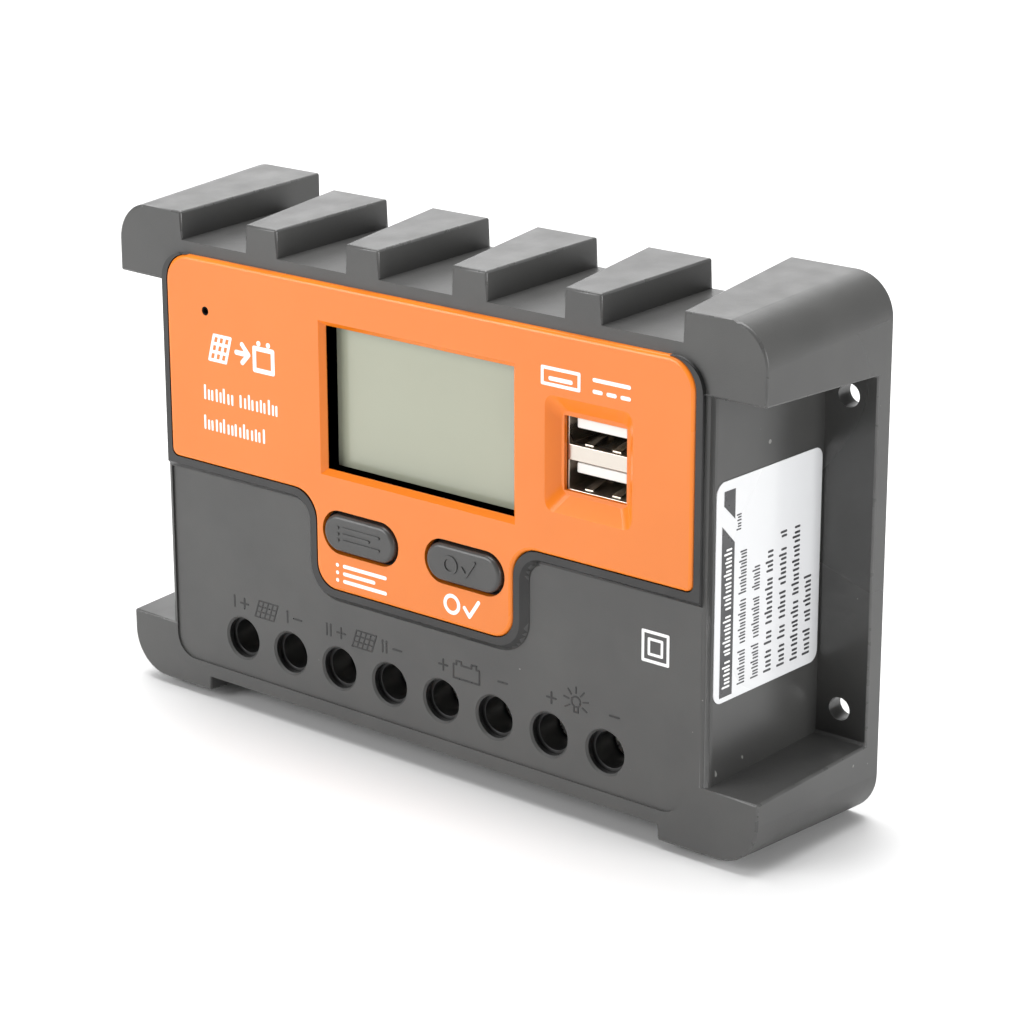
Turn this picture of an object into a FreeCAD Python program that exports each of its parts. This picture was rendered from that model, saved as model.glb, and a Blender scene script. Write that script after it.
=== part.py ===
# Solar charge controller for a wall: a moulded housing with four corner ears and
# cooling fins, a coloured front plate with display, two push buttons and a double
# USB socket, and eight screw terminals along the lower edge.
# Frame: +X to the right, +Y to the back, +Z up; origin under the middle of the
# outer box, so the controller stands on its two lower ears. Millimetres.
import FreeCAD, Part
import os
import re
import Sketcher
from FreeCAD import Placement, Rotation, Vector

doc = FreeCAD.newDocument("charge_controller")

# ---------------------------------------------------------------- driving dimensions
SIZES = [
    # outer box and mould drafts (millimetres per millimetre of depth)
    ("total_width", 150.0),
    ("total_depth", 36.0),
    ("total_height", 97.0),
    ("button_proud", 0.6),
    ("plate_proud", 1.2),
    ("side_draft", 0.038),
    ("top_draft", 0.056),
    ("sole_draft", 0.045),
    # housing
    ("body_width", 129.3),
    ("body_bottom", 4.5),
    ("ledge_height", 91.7),
    ("wall", 1.8),
    ("side_wall", 2.4),
    ("rear_gap", 7.4),
    ("front_round", 1.6),
    ("ear_round_upper", 7.4),
    ("ear_round_lower", 8.2),
    ("upper_ear_inner_front", 57.3),
    ("upper_ear_inner_back", 54.2),
    ("upper_ear_under_front", 81.6),
    ("upper_ear_under_back", 80.3),
    ("lower_ear_inner", 53.3),
    ("lower_ear_top_front", 13.6),
    ("lower_ear_top_back", 14.7),
    ("ear_skin", 2.2),
    ("ear_core_round", 5.2),
    ("ear_rib", 2.0),
    ("fin_pitch", 24.53),
    ("fin_width_front", 7.62),
    ("fin_width_back", 13.56),
    ("flange_thickness", 3.6),
    ("mount_spacing_wide", 138.4),
    ("mount_spacing_high", 56.2),
    ("mount_middle_height", 48.1),
    ("mount_hole", 4.2),
    ("post_width", 5.4),
    ("boss_width", 6.4),
    ("pilot_hole", 2.2),
    ("pilot_depth", 7.0),
    ("fixing_head", 4.8),
    ("fixing_head_depth", 1.6),
    ("recess_length", 2.4),
    ("recess_width", 0.6),
    ("recess_depth", 0.8),
    # front plate, its raised bed and the shallow field below it
    ("plate_half", 60.6),
    ("plate_top", 87.5),
    ("plate_shelf", 47.9),
    ("tab_left", -23.7),
    ("tab_right", 22.5),
    ("tab_bottom", 30.2),
    ("plate_thickness", 1.4),
    ("plate_round", 5.5),
    ("plate_corner", 1.5),
    ("seat_gap", 0.05),
    ("top_edge_round", 0.9),
    ("bed_margin", 2.6),
    ("bed_side_margin", 1.3),
    ("bed_drop", 0.3),
    ("bed_slope", 1.2),
    ("bed_slope_run", 1.1),
    ("field_left", -61.9),
    ("field_right", 58.5),
    ("field_bottom", 7.1),
    ("field_depth", 0.4),
    ("field_round", 4.5),
    # display
    ("window_middle", 0.6),
    ("window_width", 43.3),
    ("window_bottom", 52.9),
    ("window_height", 26.7),
    ("window_bevel", 1.0),
    ("window_rim", 1.8),
    ("window_rim_depth", 0.8),
    ("glass_width", 48.0),
    ("glass_bottom", 50.4),
    ("glass_height", 33.2),
    ("glass_thickness", 2.2),
    ("frame_bar", 3.0),
    ("light_setback", 0.4),
    ("frame_rim", 1.2),
    ("board_thickness", 1.6),
    ("display_board_face", -7.0),
    ("display_board_half", 31.0),
    ("display_board_bottom", 33.0),
    ("display_board_top", 86.4),
    ("lcd_pin_pitch", 2.54),
    ("lcd_pin", 0.5),
    ("header_height", 35.65),
    ("header_width", 12.7),
    ("header_depth", 2.5),
    ("header_pin", 0.64),
    ("display_post_across", 28.0),
    ("display_post_low", 36.5),
    ("display_post_high", 83.2),
    # push buttons
    ("button_width", 16.9),
    ("button_height", 6.9),
    ("button_gap", 0.7),
    ("button_edge", 0.8),
    ("menu_middle", -12.7),
    ("set_middle", 11.75),
    ("button_middle_height", 41.6),
    ("button_travel", 0.5),
    ("switch_width", 6.2),
    ("switch_depth", 3.4),
    ("switch_floor", 0.9),
    ("plunger_width", 3.4),
    ("plunger_length", 1.8),
    ("plunger_reach", 1.0),
    ("button_flange", 1.65),
    ("button_stem", 3.2),
    # double USB socket in its dish
    ("usb_middle", 38.95),
    ("usb_height", 66.2),
    ("dish_width", 18.5),
    ("dish_height", 20.5),
    ("dish_depth", 2.0),
    ("dish_floor", 0.8),
    ("dish_wall", 0.5),
    ("dish_room", 0.7),
    ("dish_land_wide", 0.6),
    ("dish_land_high", 0.8),
    ("dish_round", 3.2),
    ("usb_opening", 13.2),
    ("shell_width", 13.1),
    ("shell_height", 14.0),
    ("shell_sheet", 0.3),
    ("port_width", 12.5),
    ("port_height", 5.12),
    ("port_depth", 10.0),
    ("port_pitch", 7.9),
    ("tongue_width", 10.6),
    ("tongue_thickness", 1.84),
    ("tongue_drop", 0.5),
    ("tongue_setback", 0.9),
    ("contact_pitch", 2.3),
    ("contact_width", 1.0),
    ("contact_sheet", 0.25),
    # screw terminals
    ("terminal_first", -44.58),
    ("terminal_pitch", 12.33),
    ("terminal_height", 14.3),
    ("driver_hole", 7.8),
    ("driver_rim", 0.4),
    ("entry_front", -2.0),
    ("entry_width", 7.0),
    ("screw_head", 6.0),
    ("screw_thread", 4.0),
    ("screw_face", -9.0),
    ("screw_length", 7.8),
    ("clamp_width", 7.6),
    ("clamp_height", 7.6),
    ("clamp_front", -4.4),
    ("clamp_back", 4.0),
    ("clamp_sheet", 0.8),
    ("clamp_nut", 1.4),
    ("head_depth", 2.0),
    ("slot_length", 4.4),
    ("slot_width", 0.9),
    ("thread_gap", 0.05),
    ("terminal_top", 23.6),
    ("chamber_width", 8.2),
    ("chamber_low", 9.9),
    ("chamber_high", 18.4),
    ("lug_width", 5.6),
    ("lug_sheet", 0.8),
    ("lug_front", -1.0),
    ("lug_low", 10.2),
    ("lug_top", 20.4),
    # main board, heat sink and label
    ("main_board_face", 4.2),
    ("main_board_half", 51.2),
    ("main_board_bottom", 7.5),
    ("main_board_top", 80.0),
    ("rear_plate_thickness", 2.0),
    ("rear_plate_top", 90.0),
    ("sink_gap", 0.25),
    ("board_post_across", 48.6),
    ("board_post_inner", 36.0),
    ("board_post_high", 76.5),
    ("board_post_low", 30.0),
    ("plate_boss_upper", 48.0),
    ("plate_boss_high", 83.6),
    ("plate_boss_lower", 57.4),
    ("plate_boss_low", 22.0),
    ("transistor_pitch", 16.0),
    ("transistor_bottom", 58.5),
    ("transistor_width", 10.0),
    ("transistor_height", 9.2),
    ("transistor_depth", 4.4),
    ("transistor_draft", 0.2),
    ("tab_height", 18.0),
    ("tab_sheet", 1.3),
    ("tab_hole_rise", 15.4),
    ("leg_pitch", 2.54),
    ("leg_width", 0.8),
    ("leg_sheet", 0.5),
    ("leg_drop", 4.0),
    ("sink_screw", 3.0),
    ("sink_screw_head", 5.8),
    ("sink_screw_rise", 1.9),
    ("sink_nut", 6.0),
    ("sink_nut_depth", 2.2),
    ("can_x", -42.5),
    ("can_low", 48.5),
    ("can_high", 62.0),
    ("can_width", 10.0),
    ("can_length", 15.5),
    ("can_edge", 0.8),
    ("choke_x", 42.0),
    ("choke_height", 45.0),
    ("choke_width", 10.0),
    ("choke_core_width", 4.0),
    ("choke_depth", 7.5),
    ("choke_flange", 1.5),
    ("winding_width", 9.0),
    ("chip_x", -9.0),
    ("chip_height", 55.0),
    ("chip_side", 10.0),
    ("chip_depth", 1.4),
    ("regulator_x", 30.5),
    ("regulator_height", 45.5),
    ("regulator_side", 5.0),
    ("shunt_first", 8.0),
    ("shunt_pitch", 8.0),
    ("shunt_low", 25.6),
    ("shunt_span", 7.4),
    ("shunt_rise", 5.0),
    ("shunt_wire", 1.4),
    ("pad_thickness", 0.3),
    ("led_x", -50.4),
    ("led_height", 77.6),
    ("led_hole", 1.7),
    ("led_gap", 0.1),
    ("led_side", 1.0),
    ("led_depth", 0.8),
    ("led_rod_setback", 1.6),
    ("label_thickness", 0.15),
    ("label_front", -14.9),
    ("label_back", 13.9),
    ("label_bottom", 28.1),
    ("label_top", 66.7),
    ("label_round", 2.0),
]

dims = doc.addObject("Spreadsheet::Sheet", "dims")
for row, (alias, number) in enumerate(SIZES, start=1):
    dims.set("A%d" % row, alias)
    dims.set("B%d" % row, str(number))
    dims.setAlias("B%d" % row, alias)
doc.recompute()
ALIASES = {alias for alias, number in SIZES}

# Levels along the depth, front to back, as expressions on the sheet.
BUTTON_FACE = "(-total_depth / 2)"
PLATE_FACE = "(-total_depth / 2 + button_proud)"
RIM = "(-total_depth / 2 + button_proud + plate_proud)"
BACK = "(total_depth / 2)"
DEPTH = "(total_depth - button_proud - plate_proud)"
BED_FACE = f"({PLATE_FACE} + bed_drop)"
BED_FLOOR = f"({PLATE_FACE} + plate_thickness)"
FIELD_FLOOR = f"({RIM} + field_depth)"
INSIDE = f"({RIM} + wall)"
GLASS_FACE = f"({INSIDE} + window_rim_depth + seat_gap)"
GLASS_REAR = f"({GLASS_FACE} + glass_thickness)"
PLATE_BACK = f"({BACK} - rear_gap)"
HEAT_SINK_REAR = f"({PLATE_BACK} + rear_plate_thickness)"
BOARD_REAR = "(main_board_face + board_thickness)"

SIDES = ((1, "right"), (-1, "left"))
POLES = [f"(terminal_first + {index} * terminal_pitch)" for index in range(8)]
UP_TO_BACK = Rotation(Vector(1, 0, 0), -90)


def expression(text):
    """Put the sheet's name before each alias in a formula."""
    return re.sub(r"[a-z][a-z0-9_]*", lambda word: "dims." + word[0] if word[0] in ALIASES else word[0],
                  text)


def bind(thing, **formulas):
    """Tie properties to formulas; a double underscore stands for a dot."""
    for path, text in formulas.items():
        thing.setExpression(path.replace("__", "."), expression(text))


def size(alias):
    return dims.get(alias)


# ---------------------------------------------------------------- primitives and booleans
def block(name, x, y, z):
    """A box between pairs of formulas along X, Y and Z."""
    box = doc.addObject("Part::Box", name)
    bind(box, Length=f"{x[1]} - ({x[0]})", Width=f"{y[1]} - ({y[0]})", Height=f"{z[1]} - ({z[0]})")
    bind(box, Placement__Base__x=x[0], Placement__Base__y=y[0], Placement__Base__z=z[0])
    return box


def taper(name, near, far, y):
    """A drafted block: near and far are (x low, x high, z low, z high) at the two ends of y."""
    wedge = doc.addObject("Part::Wedge", name)
    bind(wedge, Xmin=near[0], Xmax=near[1], Zmin=near[2], Zmax=near[3])
    bind(wedge, X2min=far[0], X2max=far[1], Z2min=far[2], Z2max=far[3])
    bind(wedge, Ymin=y[0], Ymax=y[1])
    return wedge


def rod(name, x, z, width, y):
    """A round bar of the given width along Y, centred on x and z."""
    bar = doc.addObject("Part::Cylinder", name)
    bar.Placement = Placement(Vector(), UP_TO_BACK)
    bind(bar, Radius=f"({width}) / 2", Height=f"{y[1]} - ({y[0]})")
    bind(bar, Placement__Base__x=x, Placement__Base__y=y[0], Placement__Base__z=z)
    return bar


def cone(name, x, z, front_width, back_width, y):
    """A round taper along Y."""
    funnel = doc.addObject("Part::Cone", name)
    funnel.Placement = Placement(Vector(), UP_TO_BACK)
    bind(funnel, Radius1=f"({front_width}) / 2", Radius2=f"({back_width}) / 2", Height=f"{y[1]} - ({y[0]})")
    bind(funnel, Placement__Base__x=x, Placement__Base__y=y[0], Placement__Base__z=z)
    return funnel


def stadium(name, x, z, width, height, y):
    """A block with two fully round ends along X."""
    straight = f"(({width}) - ({height})) / 2"
    middle = block(name + "_middle", (f"{x} - {straight}", f"{x} + {straight}"), y,
                   (f"{z} - ({height}) / 2", f"{z} + ({height}) / 2"))
    ends = [rod(f"{name}_end_{side}", f"{x} + ({sign}) * {straight}", z, height, y) for sign, side in SIDES]
    return fuse(name, [middle] + ends)


def fuse(name, things):
    union = doc.addObject("Part::MultiFuse", name)
    union.Shapes = things
    return union


def cut(name, base, tools):
    """Base less every tool."""
    tool = tools[0] if len(tools) == 1 else fuse(name + "_tools", tools)
    rest = doc.addObject("Part::Cut", name)
    rest.Base = base
    rest.Tool = tool
    return rest


def group(name, things):
    """Separate solids of one kind kept as one node."""
    several = doc.addObject("Part::Compound", name)
    several.Links = things
    return several


def rounded(name, base, pick, alias):
    """Round the edges that pick chooses by an edge's middle and its span along X, Y and Z."""
    doc.recompute()
    chosen = []
    for number, edge in enumerate(base.Shape.Edges, start=1):
        box = edge.BoundBox
        if pick(box.Center, (box.XLength, box.YLength, box.ZLength)):
            chosen.append((number, size(alias), size(alias)))
    fillet = doc.addObject("Part::Fillet", name)
    fillet.Base = base
    fillet.Edges = chosen
    return fillet


def along_depth(middle, span):
    return span[1] > 1.5 * max(span[0], span[2])


def long_edges(shape):
    """Middles of a drafted block's four edges that run to the back."""
    return [edge.BoundBox.Center for edge in shape.Edges if edge.BoundBox.YLength > 1]


NODES = []


def node(thing, name):
    """Name the finished piece; its label is its file name."""
    thing.Label = name
    NODES.append(thing)
    return thing


# ---------------------------------------------------------------- part design helpers
def new_body(name):
    return doc.addObject("PartDesign::Body", name)


def outline(body, name, role, level, points):
    """A closed sketch through points, each tied to the sheet, level along the plane's normal."""
    sketch = body.newObject("Sketcher::SketchObject", name)
    plane = [feature for feature in body.Origin.OriginFeatures if feature.Role == role][0]
    sketch.AttachmentSupport = [(plane, "")]
    sketch.MapMode = "FlatFace"
    bind(sketch, AttachmentOffset__Base__z=level)
    count = len(points)
    for index in range(count):
        turn = 6.2832 * index / count
        start = Vector(10 + index, turn, 0)
        finish = Vector(11 + index, turn + 1, 0)
        sketch.addGeometry(Part.LineSegment(start, finish), False)
    for index in range(count):
        sketch.addConstraint(Sketcher.Constraint("Coincident", index, 2, (index + 1) % count, 1))
    for index, (across, up) in enumerate(points):
        for kind, letter, formula in (("DistanceX", "x", across), ("DistanceY", "y", up)):
            number = sketch.addConstraint(Sketcher.Constraint(kind, -1, 1, index, 1, 5.0 + index))
            sketch.renameConstraint(number, f"{letter}{index}")
            bind(sketch, **{f"Constraints__{letter}{index}": formula})
    doc.recompute()
    return sketch


def rectangle(x, z):
    return [(x[0], z[0]), (x[1], z[0]), (x[1], z[1]), (x[0], z[1])]


def pad(body, name, sketch, length, towards_back=True):
    feature = body.newObject("PartDesign::Pad", name)
    feature.Profile = sketch
    feature.Reversed = towards_back
    bind(feature, Length=length)
    doc.recompute()
    return feature


def pocket(body, name, sketch, length, towards_back=True):
    feature = body.newObject("PartDesign::Pocket", name)
    feature.Profile = sketch
    before = body.Shape.Volume
    feature.Reversed = not towards_back
    bind(feature, Length=length)
    doc.recompute()
    assert body.Shape.Volume < before, name
    return feature


def soften(body, name, kind, edges, **formulas):
    """A PartDesign Fillet or Chamfer on named edges of the body's tip."""
    feature = body.newObject("PartDesign::" + kind, name)
    feature.Base = (feature.BaseFeature or body.Tip, edges)
    if "Size2" in formulas:
        feature.ChamferType = "Two distances"
    bind(feature, **formulas)
    doc.recompute()
    return feature


def edges_at(feature, sketch, corners):
    """Edges along Y that stand on the sketch's numbered corners."""
    places = [sketch.Geometry[corner].StartPoint for corner in corners]
    found = []
    for number, edge in enumerate(feature.Shape.Edges, start=1):
        box = edge.BoundBox
        if max(box.XLength, box.ZLength) > 0.01:
            continue
        if any(abs(box.Center.x - place.x) + abs(box.Center.z - place.y) < 0.02 for place in places):
            found.append("Edge%d" % number)
    return found


def edges_where(feature, test):
    return ["Edge%d" % number for number, edge in enumerate(feature.Shape.Edges, start=1)
            if test(edge.BoundBox)]


def tee(side, shelf, tab):
    """Outline of the front plate, grown by three margins: a wide top with a tab hanging from it."""
    left, right = f"-plate_half - {side}", f"plate_half + {side}"
    low, hang = f"plate_shelf - {shelf}", f"tab_bottom - {shelf}"
    tab_low, tab_high = f"tab_left - {tab}", f"tab_right + {tab}"
    return [(left, "plate_top"), (right, "plate_top"), (right, low), (tab_high, low),
            (tab_high, hang), (tab_low, hang), (tab_low, low), (left, low)]


# ---------------------------------------------------------------- front housing
HALF_BACK = "body_width / 2"
HALF_FRONT = f"(body_width / 2 - side_draft * {DEPTH})"


def ear(name, sign, upper, inset):
    """A corner ear, drafted to the back, with its outer corner rounded; inset makes its core."""
    outer_back = f"(total_width / 2 - {inset})"
    outer_front = f"(total_width / 2 - {inset} - side_draft * {DEPTH})"
    if upper:
        inner_front, inner_back = f"(upper_ear_inner_front + {inset})", f"(upper_ear_inner_back + {inset})"
        front_z = (f"upper_ear_under_front + {inset}", f"total_height - {inset} - top_draft * {DEPTH}")
        back_z = (f"upper_ear_under_back + {inset}", f"total_height - {inset}")
        corner = "ear_round_upper"
    else:
        inner_front = inner_back = f"(lower_ear_inner + {inset})"
        front_z = (f"sole_draft * {DEPTH} + {inset}", f"lower_ear_top_front - {inset}")
        back_z = (f"{inset}", f"lower_ear_top_back - {inset}")
        corner = "ear_round_lower"
    front_x, back_x = (inner_front, outer_front), (inner_back, outer_back)
    if sign < 0:
        front_x = ("-" + outer_front, "-" + inner_front)
        back_x = ("-" + outer_back, "-" + inner_back)
    start = RIM if inset == "0" else f"{RIM} + ear_skin"
    raw = taper(name + "_raw", front_x + front_z, back_x + back_z, (start, BACK))
    rise = 1 if upper else -1
    doc.recompute()
    reach = max(sign * middle.x + rise * middle.z for middle in long_edges(raw.Shape))

    def outer_corner(middle, span):
        return along_depth(middle, span) and sign * middle.x + rise * middle.z > reach - 0.5

    radius = corner if inset == "0" else "ear_core_round"
    return rounded(name, raw, outer_corner, radius)


def front_housing():
    """One black moulding: hollow body, ears, fins, side flanges, posts and every opening."""
    core = taper("core_raw",
                 (f"-{HALF_FRONT}", HALF_FRONT, "body_bottom", f"ledge_height - top_draft * {DEPTH}"),
                 (f"-{HALF_BACK}", HALF_BACK, "body_bottom", "ledge_height"), (RIM, BACK))
    core = rounded("core", core, lambda middle, span: span[2] > 50 and middle.y < 0, "front_round")
    gap = block("gap_behind", (f"-({HALF_BACK} - side_wall)", f"{HALF_BACK} - side_wall"),
                (PLATE_BACK, f"{BACK} + 1"), ("0", "total_height"))
    solid = [cut("core_less_gap", core, [gap])]
    cores = []
    for sign, side in SIDES:
        for upper, level in ((True, "upper"), (False, "lower")):
            solid.append(ear(f"{level}_{side}_ear", sign, upper, "0"))
            hollow = ear(f"{level}_{side}_ear_core", sign, upper, "ear_skin")
            rib_x = f"({sign}) * (body_width / 2 + 1)"
            x = (f"{rib_x} - ear_rib / 2", f"{rib_x} + ear_rib / 2")
            rib = block(f"{level}_{side}_rib", x, (RIM, f"{BACK} + 1"), ("0", "total_height"))
            cores.append(cut(f"{level}_{side}_ear_cores", hollow, [rib]))
        flange_x = (f"{HALF_BACK} - 1", "total_width / 2")
        if sign < 0:
            flange_x = ("-total_width / 2", f"-{HALF_BACK} + 1")
        drafted = (f"{HALF_BACK} - 1", "total_width / 2 - side_draft * flange_thickness")
        if sign < 0:
            drafted = ("-total_width / 2 + side_draft * flange_thickness", f"-{HALF_BACK} + 1")
        heights = ("lower_ear_top_front - 1", "upper_ear_under_front + 1")
        solid.append(taper(f"{side}_flange", drafted + heights, flange_x + heights,
                           (f"{BACK} - flange_thickness", BACK)))
    for index in range(4):
        middle = f"({index} - 1.5) * fin_pitch"
        near = (f"{middle} - fin_width_front / 2", f"{middle} + fin_width_front / 2",
                "ledge_height - 5", f"total_height - top_draft * {DEPTH}")
        far = (f"{middle} - fin_width_back / 2", f"{middle} + fin_width_back / 2",
               "ledge_height - 5", "total_height - top_draft * rear_gap")
        solid.append(taper(f"fin_{index + 1}", near, far, (RIM, PLATE_BACK)))
    field = block("field_raw", ("field_left", "field_right"), (f"{RIM} - 1", FIELD_FLOOR),
                  ("field_bottom", "plate_shelf - bed_margin"))
    field = rounded("field", field, lambda middle, span: span[1] > 1 and middle.z < 20, "field_round")
    front = cut("front_less_field", fuse("housing_front", solid), [field])
    shell = fuse("housing_shell", [front, plate_bed(), window_rim()])

    side_inside = f"({HALF_FRONT} - side_wall)"
    hollows = [block("hollow_wide", (f"-{side_inside}", side_inside), (INSIDE, f"{BACK} + 1"),
                     ("lower_ear_top_back + ear_skin", "upper_ear_under_back - ear_skin")),
               block("hollow_tall", ("-lower_ear_inner + wall", "lower_ear_inner - wall"),
                     (INSIDE, f"{BACK} + 1"),
                     ("body_bottom + side_wall", f"ledge_height - top_draft * {DEPTH} - side_wall"))]
    body = cut("housing_hollowed", shell, hollows + cores)

    posts = []
    pilots = []
    for name, places, width, end in (
            ("display_post", DISPLAY_POSTS, "post_width", "display_board_face"),
            ("board_post", BOARD_POSTS, "post_width", "main_board_face"),
            ("plate_boss", PLATE_BOSSES, "boss_width", PLATE_BACK)):
        for index, (x, z) in enumerate(places):
            posts.append(rod(f"{name}_{index + 1}", x, z, width, (f"{INSIDE} - 0.5", end)))
            pilots.append(rod(f"{name}_pilot_{index + 1}", x, z, "pilot_hole",
                              (f"{end} - pilot_depth", f"{end} + 1")))
    body = fuse("housing_with_posts", [body] + posts)
    return node(cut("housing_finished", body, pilots + housing_openings()), "front_housing")


DISPLAY_POSTS = [(f"({sign}) * display_post_across", z)
                 for sign in (-1, 1) for z in ("display_post_low", "display_post_high")]
BOARD_POSTS = [("-board_post_inner", "board_post_high"), ("board_post_across", "board_post_high"),
               ("-board_post_across", "board_post_low"), ("board_post_across", "board_post_low")]
PLATE_BOSSES = [("-plate_boss_upper", "plate_boss_high"), ("plate_boss_upper", "plate_boss_high"),
                ("-plate_boss_lower", "plate_boss_low"), ("plate_boss_lower", "plate_boss_low")]
BUTTONS = (("menu", "menu_middle"), ("set", "set_middle"))


def plate_bed():
    """Raised bed that frames the front plate, with a sloping lower border."""
    body = new_body("plate_bed")
    sketch = outline(body, "bed_outline", "XZ_Plane", f"-{BED_FACE}",
                     tee("bed_side_margin", "bed_margin", "bed_margin"))
    base = pad(body, "bed_pad", sketch, f"{INSIDE} - {BED_FACE} - 0.2")
    corners = soften(body, "bed_corners", "Fillet", edges_at(base, sketch, [0, 1]), Radius="plate_round")
    hanging = soften(body, "bed_tab_corners", "Fillet", edges_at(corners, sketch, [4, 5]),
                     Radius="plate_round + 1")
    inner = soften(body, "bed_inner_corners", "Fillet", edges_at(hanging, sketch, [3, 6]),
                   Radius="plate_round - 2")
    front = inner.Shape.BoundBox

    def lower_border(box):
        low = box.YMax < front.YMin + 0.01 and box.Center.z < size("plate_shelf")
        return low and abs(box.Center.x) < size("plate_half") + 0.5

    soften(body, "bed_border", "Chamfer", edges_where(inner, lower_border), Size="bed_slope",
           Size2="bed_slope_run")
    return body


def window_rim():
    """Thickened rim behind the front wall, which the display's cell lies against."""
    side = "(window_width / 2 + window_rim)"
    return block("rim_behind_window", (f"window_middle - {side}", f"window_middle + {side}"),
                 (f"{INSIDE} - 1", f"{INSIDE} + window_rim_depth"),
                 ("window_bottom - window_rim", "window_bottom + window_height + window_rim"))


def housing_openings():
    """Everything cut through the front wall, the floor and the flanges."""
    through = (f"{PLATE_FACE} - 1", f"{INSIDE} + 0.5")
    plate_seat = new_body("plate_seat")
    sketch = outline(plate_seat, "seat_outline", "XZ_Plane", f"-({PLATE_FACE} - 1)",
                     tee("seat_gap", "seat_gap", "seat_gap"))
    base = pad(plate_seat, "seat_pad", sketch, "plate_thickness + 1")
    top = soften(plate_seat, "seat_top_corners", "Fillet", edges_at(base, sketch, [0, 1]),
                 Radius="plate_round")
    tab = soften(plate_seat, "seat_corners", "Fillet", edges_at(top, sketch, [4, 5]),
                 Radius="plate_round - 1")
    low = soften(plate_seat, "seat_low_corners", "Fillet", edges_at(tab, sketch, [2, 7]),
                 Radius="plate_corner")
    soften(plate_seat, "seat_inner_corners", "Fillet", edges_at(low, sketch, [3, 6]), Radius="plate_round")
    tools = [plate_seat]
    half_window = "(window_width / 2)"
    tools.append(block("window_hole", (f"window_middle - {half_window}", f"window_middle + {half_window}"),
                       (f"{PLATE_FACE} - 1", f"{INSIDE} + window_rim_depth + 1"),
                       ("window_bottom", "window_bottom + window_height")))
    tools.append(block("dish_hole", ("usb_middle - dish_width / 2 - dish_room",
                                     "usb_middle + dish_width / 2 + dish_room"),
                       through, ("usb_height - dish_height / 2 - dish_room",
                                 "usb_height + dish_height / 2 + dish_room")))
    for name, middle in BUTTONS:
        tools.append(stadium(f"{name}_hole", middle, "button_middle_height",
                             "button_width + 2 * button_gap",
                             "button_height + 2 * button_gap", through))
    tools.append(rod("led_pipe_hole", "led_x", "led_height", "led_hole + 2 * led_gap", through))
    for index, x in enumerate(POLES):
        tools.append(rod(f"driver_hole_{index + 1}", x, "terminal_height", "driver_hole", through))
        tools.append(cone(f"driver_rim_{index + 1}", x, "terminal_height", "driver_hole + 2 * driver_rim",
                          "driver_hole", (FIELD_FLOOR, f"{FIELD_FLOOR} + driver_rim")))
        tools.append(block(f"wire_hole_{index + 1}", (f"{x} - entry_width / 2", f"{x} + entry_width / 2"),
                           ("entry_front", "main_board_face"), ("body_bottom - 1",
                                                                "body_bottom + side_wall + 0.5")))
    for sign, side in SIDES:
        for rise in (-1, 1):
            tools.append(rod(f"mount_hole_{side}_{'up' if rise > 0 else 'down'}",
                             f"({sign}) * mount_spacing_wide / 2",
                             f"mount_middle_height + ({rise}) * mount_spacing_high / 2", "mount_hole",
                             (f"{BACK} - flange_thickness - 1", f"{BACK} + 1")))
    return tools


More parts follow.
